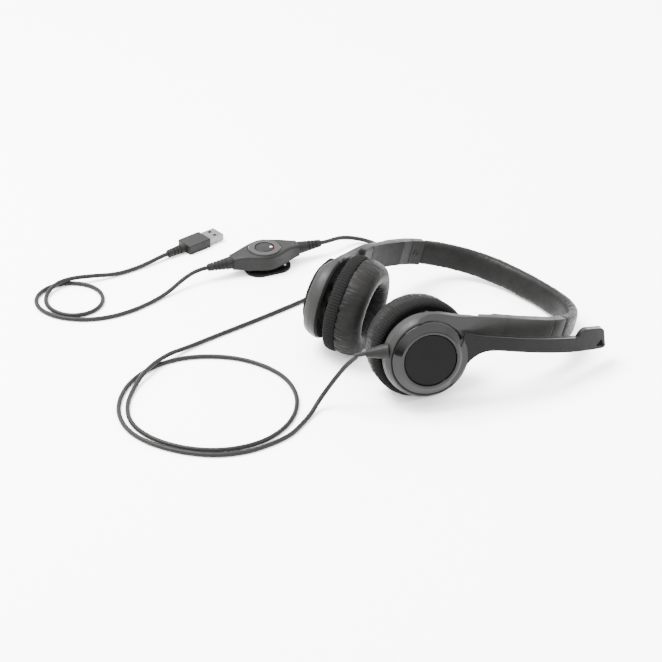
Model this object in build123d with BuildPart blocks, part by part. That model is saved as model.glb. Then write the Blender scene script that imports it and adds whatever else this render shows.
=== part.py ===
from build123d import *
from math import cos, pi, radians, sin, tan
import os

# A wired office headset lying on its back on a table, millimetres, +Z up.
# +X runs from the ear cups to the crown, +Y from the left cup to the right cup.
# The wearer's front points up, so the band dips towards the table at the crown.

# ---- how the headset lies ------------------------------------------------------------------
TILT = 19.5  # the band's plane dips this many degrees towards the crown
CUP_HEIGHT = 34.88  # middle of each outer ring above the table
HEADSET_X = -58.9
HEADSET_Y = 8.2

# ---- headset: band and cups ----------------------------------------------------------------
CUP_SPACING = 45.0  # middle plane to the middle of each ring
TOE = 27.0  # each ring leans this many degrees off the middle plane, degrees
BAND_FRONT = 22.5  # the band runs this far in front of the ring centres
BAND_BENDS = ((222.0, 21.45), (57.0, 35.3), (49.6, 47.9))  # radius and degrees turned, from the ear up

# headings along the left half of the band, in degrees: -TOE at the ear, 90 at the crown
COVER_START = -16.5
COVER_END = -6.6
SPLIT = 0.0  # the arm parts from the collar here, square to the sliding direction
COLLAR_END = 11.5
CORE_START = 15.5
FOAM_START = 22.0
MARK_HEADING = 5.5
CROWN = 90.0

SPLIT_GAP = 0.15  # degrees of heading: the fine line between arm and collar
ARM_HALF_WIDTH = 8.7
ARM_HALF_THICKNESS = 3.2
COLLAR_HALF_THICKNESS = 3.2
COVER_THICKNESS = 1.1
WRAP_HALF_WIDTH = 8.9
WRAP_HALF_THICKNESS = 4.0
WRAP_WALL = 1.4
TONGUE_LENGTH = 29.2
TONGUE_OUTSIDE_ARM = 20.0
TONGUE_THICKNESS = 1.2
TONGUE_HALF_WIDTH = 6.0
TONGUE_INWARD = 2.0  # from the band's middle line at the split
TONGUE_CLEARANCE = 0.3

# ---- outer rings: radii, and heights outward from the ring's rim ----------------------------
RIM_RADIUS = 28.5
SHOULDER_RADIUS = 25.6
SHOULDER_HEIGHT = 9.2
SEAT_RADIUS = 24.7
DECK_HEIGHT = 7.0
DECK_THICKNESS = 1.6
BOSS_RADIUS = 8.3
BOSS_HEIGHT = 10.6
STEM_RADIUS = 1.5
TRIM_RADIUS = 24.3
CREST_RADIUS = 19.2
CREST_HEIGHT = 12.7
CAP_RADIUS = 17.0
CAP_HEIGHT = 12.1
SHAFT_CLEARANCE = 0.07
LIP_RADIUS = 27.9
LIP_HEIGHT = -1.6
PIVOT_HEIGHT = -3.75
PIVOT_PIN_RADIUS = 1.0

# ---- ear cups -------------------------------------------------------------------------------
CUP_BACK_HEIGHT = -6.4
CUP_SHELL_RADIUS = 30.8
CUP_RADIUS = 33.0
SEAM_HEIGHT = -14.4
CUSHION_FACE_HEIGHT = -30.0
CUSHION_HOLE_RADIUS = 15.5
LEFT_CUP_TURN = 6.0
LEFT_CUP_NOD = 2.5
RIGHT_CUP_TURN = -1.0
RIGHT_CUP_NOD = -1.0

# ---- microphone boom, in the left ring's own axes -------------------------------------------
BOOM_BEND_START = 25.0
BOOM_BEND_RADIUS = 185.0
BOOM_TOP = 11.6
BOOM_TIP = 128.3
# thickness along the boom: thin where it swings over the housing's neck
BOOM_DEPTHS = ((25, 1.85), (33, 2.3), (39, 4.1), (46, 5.0), (62, 5.0), (95, 5.0), (132, 5.0))
BOOM_SHELL = 0.55  # the outer shell's share of the thickness

# ---- cord and its fittings ------------------------------------------------------------------
CORD_RADIUS = 1.5
CORD_LEAD = 6.0  # a cord leaves its boot straight for this far
RELIEF_LENGTH = 12.5

# ---- inline controller ----------------------------------------------------------------------
CONTROLLER_AT = (-30.3, 160.7)
CONTROLLER_HEADING = -16.2
CONTROLLER_SPLIT = 25.0  # half the length of the two shells
CONTROLLER_BELLY = 13.2  # half the width at the dial
CONTROLLER_NECK = 4.8  # half the width at the ends
CONTROLLER_BASE = 4.2
CONTROLLER_MID = 10.2
CONTROLLER_TOP = 15.9
DIAL_FLOOR = 12.4
ROCKER_RADIUS = 11.6
ROCKER_TOP = 16.6
MUTE_RADIUS = 6.4
MUTE_TRAVEL = 0.6
DIAL_CLEARANCE = 0.4
CORD_LEVEL = 10.0
CONTROLLER_RELIEF_LENGTH = 18.0
CLIP_THICKNESS = 1.8
CLIP_PIN_X = 12.0
CLIP_PIN_Z = 3.6

# ---- USB plug -------------------------------------------------------------------------------
PLUG_AT = (-50.5, 215.6)
PLUG_LENGTH = 18.8
PLUG_WIDTH = 14.3
PLUG_HEIGHT = 7.0
PLUG_RELIEF_LENGTH = 14.5
USB_WIDTH = 12.0
USB_HEIGHT = 4.5
USB_LENGTH = 12.2  # what shows of the metal shell
USB_SEATED = 4.0  # what is hidden in the grip
USB_WALL = 0.3

# ---- the cord's routes, laid by hand on the table -------------------------------------------
# Each lies CORD_RADIUS above the table, and rises in a low hump where it passes over itself.
HEADSET_ROUTE = (
    (-105.8, -9.3, 36.6),
    (-107.7, 1.6, 26.7),
    (-107.9, 6.2, 15.7),
    (-114.5, 8.0, 6.5),
    (-124.5, 5.3, 1.7),
    (-134.0, -3.0, 1.5),
    (-146.9, -11.3, 1.5),
    (-162.9, -15.0, 1.5),
    (-182.9, -12.1, 1.5),
    (-200.4, -2.3, 1.5),
    (-213.9, 13.7, 1.5),
    (-222.9, 32.2, 1.5),
    (-226.1, 52.2, 1.5),
    (-220.9, 71.7, 1.5),
    (-208.9, 87.7, 1.5),
    (-191.9, 99.7, 1.5),
    (-170.9, 105.2, 1.5),
    (-149.9, 102.2, 1.5),
    (-131.9, 90.7, 1.5),
    (-118.9, 74.7, 1.5),
    (-112.1, 55.7, 1.5),
    (-111.7, 36.2, 1.5),
    (-118.9, 17.7, 1.5),
    (-131.4, 3.2, 1.5),
    (-147.9, -6.3, 1.5),
    (-166.9, -9.6, 1.5),
    (-185.4, -5.1, 1.5),
    (-200.9, 5.2, 1.5),
    (-213.4, 21.7, 1.5),
    (-220.1, 41.2, 1.5),
    (-219.4, 61.2, 1.5),
    (-209.9, 78.2, 1.5),
    (-195.9, 90.7, 1.6),
    (-179.4, 99.9, 5.0),
    (-156.9, 106.5, 5.0),
    (-137.9, 108.6, 1.9),
    (-115.9, 108.5, 1.5),
    (-82.9, 106.8, 1.5),
    (-44.9, 106.0, 1.5),
    (-16.9, 107.0, 1.5),
    (5.1, 108.8, 1.5),
    (23.1, 111.2, 1.5),
    (39.2, 112.2, 1.5),
    (49.4, 121.7, 1.5),
    (50.2, 135.6, 1.6),
    (41.5, 146.2, 4.2),
    (28.2, 147.5, 8.8),
)
USB_ROUTE = (
    (-88.7, 175.2, 8.0),
    (-106.4, 173.5, 2.2),
    (-120.9, 171.7, 1.5),
    (-138.4, 171.0, 1.5),
    (-155.9, 174.4, 1.5),
    (-170.9, 183.2, 1.5),
    (-181.9, 197.2, 1.5),
    (-185.2, 214.2, 1.5),
    (-178.9, 228.4, 1.5),
    (-163.9, 235.2, 1.5),
    (-149.4, 231.2, 1.5),
    (-139.9, 219.2, 1.5),
    (-139.2, 204.2, 1.5),
    (-147.9, 191.0, 1.5),
    (-161.9, 186.8, 1.5),
    (-174.7, 193.2, 1.5),
    (-179.9, 208.2, 1.5),
    (-174.4, 223.7, 1.6),
    (-160.9, 231.4, 4.2),
    (-147.9, 229.8, 5.0),
    (-134.4, 223.4, 4.6),
    (-116.9, 218.0, 1.6),
    (-100.3, 216.0, 1.7),
    (-87.2, 215.6, 2.7),
)

REST = Location((HEADSET_X, HEADSET_Y, CUP_HEIGHT), (0, TILT, 0))
RING = REST * Location((0, -CUP_SPACING, 0), (0, 0, -TOE)) * Location((0, 0, 0), (90, 0, 0))
HEADSET = Plane(REST)
BAND = HEADSET.offset(BAND_FRONT)
LEFT_RING = Plane(RING)
MIDDLE = Plane((0, HEADSET_Y, 0), z_dir=(0, 1, 0))
CONTROLLER = Plane(Location((*CONTROLLER_AT, 0), (0, 0, CONTROLLER_HEADING)))
PLUG = Plane(Location((*PLUG_AT, 0)))

os.makedirs("parts", exist_ok=True)


def keep(piece, node):
    """Label a finished piece and write it."""
    piece.part.label = node
    export_step(piece.part, f"parts/{node}.step")


def to_the_right():
    """Turn the left-hand piece being built into its right-hand twin."""
    mirror(about=MIDDLE, mode=Mode.REPLACE)


# ---- building blocks ------------------------------------------------------------------------
def outward(heading):
    """Unit vector away from the head, for a heading along the left half of the band."""
    return Vector(sin(radians(heading)), -cos(radians(heading)))


def band_layout():
    """Centre, radius, first and last heading of each arc of the left half, ear to crown."""
    arcs = []
    heading = -TOE
    point = Vector(0, -CUP_SPACING)
    for radius, turned in BAND_BENDS:
        centre = point - outward(heading) * radius
        arcs.append((centre, radius, heading, heading + turned))
        heading += turned
        point = centre + outward(heading) * radius
    crown_radius = -point.Y / cos(radians(heading))
    arcs.append((point - outward(heading) * crown_radius, crown_radius, heading, CROWN))
    return arcs


BAND_ARCS = band_layout()


def band_point(heading, offset=0.0):
    """The point of the band's left half at a heading, moved outward by offset."""
    for centre, radius, first, last in BAND_ARCS:
        if first <= heading <= last:
            return centre + outward(heading) * (radius + offset)
    raise ValueError(f"no part of the band has the heading {heading}")


def band_edge(start, stop, offset):
    """The band's left half between two headings, moved outward by offset."""
    for centre, radius, first, last in BAND_ARCS:
        low = max(first, start)
        high = min(last, stop)
        if high > low:
            CenterArc(centre, radius + offset, low - 90, high - low)


def band_slab(start, stop, inner, outer, half_width, mode=Mode.ADD):
    """A slab that follows the left half of the band, between two offsets from its middle line."""
    with BuildSketch(BAND) as profile:
        with BuildLine():
            band_edge(start, stop, outer)
            band_edge(start, stop, inner)
            Line(band_point(start, inner), band_point(start, outer))
            Line(band_point(stop, inner), band_point(stop, outer))
        make_face()
    extrude(profile.sketch, amount=half_width, both=True, mode=mode)


def section_of(frame):
    """The plane through a frame's axis, with x along the frame's x and y along its axis."""
    return Plane(frame.origin, x_dir=frame.x_dir, z_dir=-frame.y_dir)


def turned(frame, *outline, mode=Mode.ADD):
    """A solid turned about a frame's z axis from an outline of (radius, height) points."""
    with BuildSketch(section_of(frame)) as profile:
        with BuildLine():
            Polyline(*outline, close=True)
        make_face()
    revolve(profile.sketch, axis=Axis(frame.origin, frame.z_dir), mode=mode)


def block(frame, size, centre, mode=Mode.ADD):
    """A box in a frame, given by its size and its middle."""
    length, width, height = size
    x, y, z = centre
    with BuildSketch(frame.offset(z)) as profile:
        with Locations((x, y)):
            Rectangle(length, width)
    extrude(profile.sketch, amount=height / 2, both=True, mode=mode)


def rod(frame, direction, centre, radius, length, mode=Mode.ADD):
    """A round bar in a frame, along its x or y direction."""
    x_dir, along = (frame.y_dir, frame.x_dir) if direction == "x" else (frame.x_dir, frame.y_dir)
    with BuildSketch(Plane(frame.from_local_coords(Vector(*centre)), x_dir=x_dir, z_dir=along)) as profile:
        Circle(radius)
    extrude(profile.sketch, amount=length / 2, both=True, mode=mode)


def cup_frame(turn, nod):
    """The left ring's frame, swivelled about the pivot in the gap behind the ear cup."""
    pivot = Location((0, 0, PIVOT_HEIGHT))
    back = Location((0, 0, -PIVOT_HEIGHT))
    swivel = Location((0, 0, 0), (0, turn, 0)) * Location((0, 0, 0), (-nod, 0, 0))
    return Plane(RING * pivot * swivel * back)


CUP_FRAMES = {
    "left": cup_frame(LEFT_CUP_TURN, LEFT_CUP_NOD),
    "right": cup_frame(RIGHT_CUP_TURN, RIGHT_CUP_NOD),
}


def tongue_box(outside, clearance, mode):
    """The straight steel tongue's room, reaching past the split by a given length."""
    split = band_point(SPLIT)
    inside = TONGUE_LENGTH - TONGUE_OUTSIDE_ARM
    length = inside + outside
    middle = (split.X - inside + length / 2, split.Y + TONGUE_INWARD)
    with BuildSketch(BAND) as profile:
        with Locations(middle):
            Rectangle(length, TONGUE_THICKNESS + 2 * clearance)
    extrude(profile.sketch, amount=TONGUE_HALF_WIDTH + clearance, both=True, mode=mode)


# ---- outer housings and arms ----------------------------------------------------------------
def housing(side):
    """One moulding: the outer ring's dish, the arm up to the split, and the boss for the trim."""
    arm_start = -19.5
    cup_room = 34.4
    neck_end = 52.0
    with BuildPart() as piece:
        # the neck between ring and arm: an outline seen from outside, cut to a side profile
        with BuildSketch(LEFT_RING.offset(LIP_HEIGHT)):
            with BuildLine():
                front = BAND_FRONT + ARM_HALF_WIDTH
                back = BAND_FRONT - ARM_HALF_WIDTH
                Spline((-8, 27.2), (8, 29.4), (24, front), tangents=((1, 0.16), (1, 0)))
                Line((24, front), (neck_end, front))
                Line((neck_end, front), (neck_end, back))
                Line((neck_end, back), (48, back))
                Spline((48, back), (36, 11.6), (29, 4), (26, -4), tangents=((-1, 0), (-0.3, -1)))
                Line((26, -4), (-8, -4))
                Line((-8, -4), (-8, 27.2))
            make_face()
        extrude(amount=SHOULDER_HEIGHT - LIP_HEIGHT + 1)
        with BuildSketch(section_of(LEFT_RING)):
            with BuildLine():
                Polyline((14, 8.9), (-12, 8.9), (-12, -1.5), (neck_end, -6))
                Line((neck_end, -6), (neck_end, -2.9))
                Spline((neck_end, -2.9), (39, 1.2), (27, 5.6), (14, 8.9), tangents=((-1, 0.24), (-1, 0.1)))
            make_face()
        extrude(amount=2 * RIM_RADIUS, both=True, mode=Mode.INTERSECT)
        band_slab(arm_start, SPLIT, -ARM_HALF_THICKNESS, ARM_HALF_THICKNESS, ARM_HALF_WIDTH)
        # room for the ear cup to swivel behind the arm
        turned(
            LEFT_RING,
            (0, LIP_HEIGHT),
            (cup_room - 0.6, LIP_HEIGHT),
            (cup_room + 5.4, -6.8),
            (cup_room + 5.4, -40),
            (0, -40),
            mode=Mode.SUBTRACT,
        )
        turned(
            LEFT_RING,
            (0, -3),
            (LIP_RADIUS + 0.1, -3),
            (LIP_RADIUS + 0.1, 0),
            (RIM_RADIUS - 1, 0),
            (SEAT_RADIUS, 12),
            (0, 12),
            mode=Mode.SUBTRACT,
        )
        turned(
            LEFT_RING,
            (RIM_RADIUS - 1.8, 0),
            (RIM_RADIUS, 0),
            (RIM_RADIUS, 2.2),
            (RIM_RADIUS - 0.8, 5.6),
            (SHOULDER_RADIUS + 0.5, 8.7),
            (SHOULDER_RADIUS, SHOULDER_HEIGHT),
            (SEAT_RADIUS, SHOULDER_HEIGHT),
            (SEAT_RADIUS, DECK_HEIGHT),
            (BOSS_RADIUS, DECK_HEIGHT),
            (BOSS_RADIUS, BOSS_HEIGHT),
            (STEM_RADIUS, BOSS_HEIGHT),
            (STEM_RADIUS, DECK_HEIGHT - DECK_THICKNESS),
            (SEAT_RADIUS, DECK_HEIGHT - DECK_THICKNESS),
            (RIM_RADIUS - 1.8, 2.2),
        )
        # hollow arm, open towards the head, and the slot that grips the tongue
        band_slab(COVER_START, COVER_END, -4, 1.4, ARM_HALF_WIDTH - 1.6, Mode.SUBTRACT)
        seat = COVER_THICKNESS + 0.05 - ARM_HALF_THICKNESS
        band_slab(COVER_START, COVER_END, -4, seat, ARM_HALF_WIDTH + 1, Mode.SUBTRACT)
        tongue_box(TONGUE_OUTSIDE_ARM, 0, Mode.SUBTRACT)
        if side == "left":
            with BuildSketch(cord_exit().offset(-2.2)):
                Circle(CORD_RADIUS + 1.4)
            extrude(amount=5, mode=Mode.SUBTRACT)
        else:
            to_the_right()
    keep(piece, f"{side}_housing")


def cord_exit():
    """Where the headset cord's strain relief sits: the foot of the left ring, pointing away."""
    foot = LEFT_RING.from_local_coords(Vector(-RIM_RADIUS + 0.6, -1.5, 4.2))
    ahead = LEFT_RING.from_local_coords(Vector(-RIM_RADIUS - 8.4, -5.1, 2.1))
    return Plane(foot, x_dir=LEFT_RING.y_dir, z_dir=ahead - foot)


def arm_cover(side):
    """The dark inner cover of an arm, closing its hollow."""
    with BuildPart() as piece:
        band_slab(
            COVER_START + 0.03,
            COVER_END - 0.03,
            -ARM_HALF_THICKNESS,
            -ARM_HALF_THICKNESS + COVER_THICKNESS,
            ARM_HALF_WIDTH,
        )
        if side == "right":
            to_the_right()
    keep(piece, f"{side}_arm_cover")


def slide_tongue(side):
    """The steel tongue that carries an arm in the band."""
    split = band_point(SPLIT)
    with BuildPart() as piece:
        tongue_box(TONGUE_OUTSIDE_ARM, 0, Mode.ADD)
        # a round notch in each long edge stops the arm at full length
        across = Plane(
            BAND.from_local_coords(Vector(split.X + TONGUE_OUTSIDE_ARM - 3, split.Y, 0)),
            x_dir=BAND.x_dir,
            z_dir=BAND.y_dir,
        )
        with BuildSketch(across):
            with Locations((0, TONGUE_HALF_WIDTH), (0, -TONGUE_HALF_WIDTH)):
                Circle(1.0)
        extrude(amount=6, both=True, mode=Mode.SUBTRACT)
        if side == "right":
            to_the_right()
    keep(piece, f"{side}_slide_tongue")


def housing_cover(side):
    """The black cover behind an outer ring, with the two ears that hold the swivel's cross."""
    with BuildPart() as piece:
        turned(
            LEFT_RING,
            (0, 0.2),
            (21, 0.2),
            (21, LIP_HEIGHT),
            (LIP_RADIUS - 0.6, LIP_HEIGHT),
            (LIP_RADIUS, LIP_HEIGHT + 0.6),
            (LIP_RADIUS, -0.02),
            (RIM_RADIUS - 1.9, -0.02),
            (RIM_RADIUS - 1.9, 1.7),
            (0, 1.7),
        )
        for y in (-6, 6):
            block(LEFT_RING, (4, 2, 4.1), (0, y, -1.8))
            rod(LEFT_RING, "y", (0, y, PIVOT_HEIGHT), 2.0, 2)
            rod(LEFT_RING, "y", (0, y, PIVOT_HEIGHT), PIVOT_PIN_RADIUS + 0.05, 3, Mode.SUBTRACT)
        if side == "right":
            to_the_right()
    keep(piece, f"{side}_housing_cover")


def trim_ring_body():
    """The bevelled glossy ring that turns on, or sits on, the housing's boss."""
    turned(
        LEFT_RING,
        (BOSS_RADIUS + SHAFT_CLEARANCE, DECK_HEIGHT + 0.4),
        (TRIM_RADIUS, DECK_HEIGHT + 0.4),
        (TRIM_RADIUS, SHOULDER_HEIGHT + 0.2),
        (CREST_RADIUS, CREST_HEIGHT),
        (CAP_RADIUS + 0.4, CREST_HEIGHT),
        (CAP_RADIUS + 0.4, DECK_HEIGHT + 2),
        (BOSS_RADIUS + SHAFT_CLEARANCE, DECK_HEIGHT + 2),
    )


def right_trim_ring():
    with BuildPart() as piece:
        trim_ring_body()
        to_the_right()
    keep(piece, "right_trim_ring")


def trim_retainer(side):
    """The snap washer that holds the trim ring on the boss."""
    low = DECK_HEIGHT + 2.15
    with BuildPart() as piece:
        bore = BOSS_RADIUS + 0.02
        turned(LEFT_RING, (bore, low), (11.5, low), (11.5, low + 0.9), (bore, low + 0.9))
        if side == "right":
            to_the_right()
    keep(piece, f"{side}_trim_retainer")


def cap_disc(side):
    """The flat disc in the middle of the trim, with its stem in the boss."""
    with BuildPart() as piece:
        turned(
            LEFT_RING,
            (0, CAP_HEIGHT),
            (CAP_RADIUS - 0.3, CAP_HEIGHT),
            (CAP_RADIUS, CAP_HEIGHT - 0.3),
            (CAP_RADIUS, BOSS_HEIGHT + 0.05),
            (STEM_RADIUS, BOSS_HEIGHT + 0.05),
            (STEM_RADIUS, DECK_HEIGHT),
            (0, DECK_HEIGHT),
        )
        if side == "right":
            to_the_right()
    keep(piece, f"{side}_cap_disc")


# ---- microphone boom ------------------------------------------------------------------------
def boom_height(x):
    """Height of the boom's outer face: level over the ring, then bending towards the head."""
    past = max(x - BOOM_BEND_START, 0)
    return BOOM_TOP - past**2 / (2 * BOOM_BEND_RADIUS)


def boom_side(low, high):
    """The boom seen from its edge, between two shares of its thickness."""
    upper = [(x, boom_height(x) - low * depth) for x, depth in BOOM_DEPTHS]
    lower = [(x, boom_height(x) - high * depth) for x, depth in BOOM_DEPTHS]
    with BuildLine() as edge_on:
        Spline(*upper)
        Spline(*lower)
        Line(upper[0], lower[0])
        Line(upper[-1], lower[-1])
    make_face(edge_on.edges())


def boom_outline(inset=0.0):
    """The boom seen from outside: a flared root, a straight arm and a raised, rounded tip."""
    with BuildLine() as outline:
        Spline(
            (9.2, 22.6),
            (19, 21.3 - inset),
            (31, 21.3 - inset),
            (46, 22.3 - inset),
            tangents=((1, -0.2), (1, 0.045)),
        )
        Line((46, 22.3 - inset), (101.4, 25.0 - inset))
        # the raised pad at the tip
        Spline(
            (101.4, 25.0 - inset),
            (102.6 + inset, 28.4 - inset),
            (106.4, 31.0 - inset),
            tangents=((0.35, 1), (1, 0.25)),
        )
        Line((106.4, 31.0 - inset), (118.4, 31.5 - inset))
        Spline((118.4, 31.5 - inset), (123.4 - inset, 28.8), tangents=((1, 0), (0.5, -1)))
        Line((123.4 - inset, 28.8), (BOOM_TIP - inset, 19.2))
        Spline((BOOM_TIP - inset, 19.2), (125.8, 17.0 + inset), tangents=((0.5, -1), (-1, -0.07)))
        Line((125.8, 17.0 + inset), (98, 14.8 + inset))
        Line((98, 14.8 + inset), (52, 13.2 + inset))
        Spline(
            (52, 13.2 + inset),
            (40.1, 12.3),
            (34.2, 10.6),
            (29.8, 7.6),
            (26.3, 2.9),
            (22.7, -8.1),
            (19.6, -14.2),
            tangents=((-1, -0.035), (-0.5, -1)),
        )
        Line((19.6, -14.2), (9.2, 22.6))
    make_face(outline.edges())


def mic_boom():
    """The turning trim ring and the boom's outer shell, one glossy and satin moulding."""
    with BuildPart() as piece:
        with BuildSketch(LEFT_RING.offset(-30)):
            boom_outline()
        extrude(amount=45)
        with BuildSketch(section_of(LEFT_RING)):
            boom_side(0, BOOM_SHELL)
            with BuildLine():
                Polyline((17.7, 9.75), (BOOM_BEND_START, 9.75), (BOOM_BEND_START, BOOM_TOP), (17.7, BOOM_TOP), close=True)
            make_face()
        extrude(amount=60, both=True, mode=Mode.INTERSECT)
        turned(
            LEFT_RING,
            (0, 0),
            (CAP_RADIUS + 1.4, 0),
            (CAP_RADIUS + 1.4, 20),
            (0, 20),
            mode=Mode.SUBTRACT,
        )
        turned(LEFT_RING, (0, 0), (RIM_RADIUS + 1.5, 0), (RIM_RADIUS + 1.5, 9.7), (0, 9.7), mode=Mode.SUBTRACT)
        trim_ring_body()
        mic_room(Mode.SUBTRACT)
        port_room(Mode.SUBTRACT)
    keep(piece, "mic_boom")


def mic_room(mode, radius=2.8, low=-13.8, high=-12.2):
    """The round room for the microphone capsule in the boom's tip."""
    with BuildSketch(LEFT_RING.offset(low)) as profile:
        with Locations((115, 23.5)):
            Circle(radius)
    extrude(profile.sketch, amount=high - low, mode=mode)


def port_room(mode, shrink=0.0):
    """The three-cornered sound port near the boom's lower corner."""
    with BuildSketch(LEFT_RING.offset(-25)) as profile:
        with BuildLine():
            low = 19.0 + shrink / 2
            Polyline((119.4 + shrink, low), (126.2 - shrink, low), (122.4, 23.8 - shrink), close=True)
        make_face()
        fillet(profile.vertices(), 0.5)
    extrude(profile.sketch, amount=20, mode=mode)


def mic_boom_cover():
    """The boom's inner shell, on the side that faces the head."""
    with BuildPart() as piece:
        with BuildSketch(LEFT_RING.offset(-30)):
            boom_outline(0.15)
        extrude(amount=45)
        with BuildSketch(section_of(LEFT_RING)):
            boom_side(BOOM_SHELL + 0.01, 1)
        extrude(amount=60, both=True, mode=Mode.INTERSECT)
        turned(LEFT_RING, (0, -2), (31.5, -2), (31.5, 20), (0, 20), mode=Mode.SUBTRACT)
        mic_room(Mode.SUBTRACT)
    keep(piece, "mic_boom_cover")


def mic_capsule():
    with BuildPart() as piece:
        mic_room(Mode.ADD, 2.75, -13.75, -12.25)
    keep(piece, "mic_capsule")


def mic_port_mesh():
    """The dark mesh in the sound port."""
    with BuildPart() as piece:
        port_room(Mode.ADD, 0.02)
        with BuildSketch(section_of(LEFT_RING)):
            boom_side(0.15, 0.5)
        extrude(amount=60, both=True, mode=Mode.INTERSECT)
    keep(piece, "mic_port_mesh")


# ---- swivels and ear cups -------------------------------------------------------------------
def swivel_cross(side):
    """The cross between housing and cup: two pins at right angles on one block."""
    frame = LEFT_RING
    with BuildPart() as piece:
        block(frame, (9.2, 9.2, 3.2), (0, 0, PIVOT_HEIGHT))
        rod(frame, "y", (0, 0, PIVOT_HEIGHT), PIVOT_PIN_RADIUS, 14)
        rod(CUP_FRAMES[side], "x", (0, 0, PIVOT_HEIGHT), PIVOT_PIN_RADIUS, 14)
        if side == "right":
            to_the_right()
    keep(piece, f"{side}_swivel_cross")


def cup_back(side):
    """The ear cup's hard back: a dish with a skirt, and two ears on the swivel's cross."""
    frame = CUP_FRAMES[side]
    with BuildPart() as piece:
        turned(
            frame,
            (0, -7.2),
            (12.5, -7.2),
            (12.5, CUP_BACK_HEIGHT),
            (CUP_SHELL_RADIUS - 0.5, CUP_BACK_HEIGHT),
            (CUP_SHELL_RADIUS, CUP_BACK_HEIGHT - 0.5),
            (CUP_SHELL_RADIUS, -12.8),
            (CUP_SHELL_RADIUS - 1.5, -12.8),
            (CUP_SHELL_RADIUS - 1.5, -8.6),
            (0, -8.6),
        )
        for x in (-6, 6):
            block(frame, (2, 4, 4.2), (x, 0, -5.6))
            rod(frame, "x", (x, 0, PIVOT_HEIGHT), 1.9, 2)
            rod(frame, "x", (x, 0, PIVOT_HEIGHT), PIVOT_PIN_RADIUS + 0.05, 3, Mode.SUBTRACT)
        with BuildSketch(frame.offset(CUP_BACK_HEIGHT)):
            with PolarLocations(22, 3, start_angle=60):
                Circle(1.1)
        extrude(amount=4, both=True, mode=Mode.SUBTRACT)
        if side == "right":
            to_the_right()
    keep(piece, f"{side}_cup_back")


def cup_screws(side):
    """Three pan-head screws from the cup's back into the baffle."""
    frame = CUP_FRAMES[side]
    with BuildPart() as piece:
        with BuildSketch(frame.offset(CUP_BACK_HEIGHT)):
            with PolarLocations(22, 3, start_angle=60):
                Circle(1.9)
        extrude(amount=0.8)
        with BuildSketch(frame.offset(CUP_BACK_HEIGHT)):
            with PolarLocations(22, 3, start_angle=60):
                Circle(1.05)
        extrude(amount=-7.0)
        with BuildSketch(frame.offset(CUP_BACK_HEIGHT + 0.8)):
            with PolarLocations(22, 3, start_angle=60):
                Rectangle(2.6, 0.5)
                Rectangle(0.5, 2.6)
        extrude(amount=-0.5, mode=Mode.SUBTRACT)
        if side == "right":
            to_the_right()
    keep(piece, f"{side}_cup_screws")


def knit_ring(side):
    """The ribbed knit band round the cup, from the edge of its back to the cushion's seam."""
    frame = CUP_FRAMES[side]
    with BuildPart() as piece:
        turned(
            frame,
            (CUP_SHELL_RADIUS + 0.02, CUP_BACK_HEIGHT - 0.45),
            (CUP_SHELL_RADIUS - 0.5, CUP_BACK_HEIGHT + 0.03),
            (CUP_SHELL_RADIUS - 2.4, CUP_BACK_HEIGHT + 0.03),
            (CUP_SHELL_RADIUS - 2.0, CUP_BACK_HEIGHT + 0.5),
            (CUP_SHELL_RADIUS - 0.2, CUP_BACK_HEIGHT + 0.4),
            (CUP_RADIUS - 0.9, CUP_BACK_HEIGHT - 0.9),
            (CUP_RADIUS - 0.2, -9.0),
            (CUP_RADIUS, -10.8),
            (CUP_RADIUS - 0.2, -13.0),
            (CUP_RADIUS - 0.8, SEAM_HEIGHT),
            (CUP_SHELL_RADIUS + 0.02, SEAM_HEIGHT),
        )
        if side == "right":
            to_the_right()
    keep(piece, f"{side}_knit_ring")


def baffle(side):
    """The plate that carries the driver, with its ring of sound slots."""
    frame = CUP_FRAMES[side]
    with BuildPart() as piece:
        turned(
            frame,
            (0, -13.0),
            (CUP_SHELL_RADIUS - 0.1, -13.0),
            (CUP_SHELL_RADIUS - 0.1, SEAM_HEIGHT + 0.05),
            (0, SEAM_HEIGHT + 0.05),
        )
        with BuildSketch(frame.offset(-12.9)):
            with PolarLocations(9, 10):
                SlotOverall(5, 1.6)
            Circle(1.6)
        extrude(amount=-3, mode=Mode.SUBTRACT)
        with BuildSketch(frame.offset(-9.2)):
            with PolarLocations(22, 3, start_angle=60):
                Circle(2.2)
        extrude(amount=-4)
        with BuildSketch(frame.offset(-9.1)):
            with PolarLocations(22, 3, start_angle=60):
                Circle(1.05)
        extrude(amount=-4.4, mode=Mode.SUBTRACT)
        if side == "right":
            to_the_right()
    keep(piece, f"{side}_baffle")


def driver(side):
    """The speaker's frame and magnet, behind the baffle."""
    frame = CUP_FRAMES[side]
    with BuildPart() as piece:
        turned(
            frame,
            (0, -9.0),
            (7.5, -9.0),
            (8.2, -9.7),
            (8.2, -11.0),
            (15.5, -11.2),
            (18.2, -12.0),
            (18.2, -12.95),
            (15.0, -12.95),
            (14.0, -12.2),
            (0, -12.2),
        )
        if side == "right":
            to_the_right()
    keep(piece, f"{side}_driver")


def diaphragm(side):
    """The driver's thin domed film."""
    frame = CUP_FRAMES[side]
    with BuildPart() as piece:
        turned(frame, (0, -12.3), (6, -12.3), (14.0, -12.75), (14.0, -12.9), (6, -12.55), (0, -12.55))
        if side == "right":
            to_the_right()
    keep(piece, f"{side}_diaphragm")


def ear_screen(side):
    """The thin acoustic cloth in the bottom of the cushion's hollow."""
    frame = CUP_FRAMES[side]
    low = SEAM_HEIGHT - 0.5
    with BuildPart() as piece:
        with BuildSketch(frame.offset(low)):
            Circle(CUSHION_HOLE_RADIUS - 0.3)
        extrude(amount=0.5)
        if side == "right":
            to_the_right()
    keep(piece, f"{side}_ear_screen")


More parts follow.
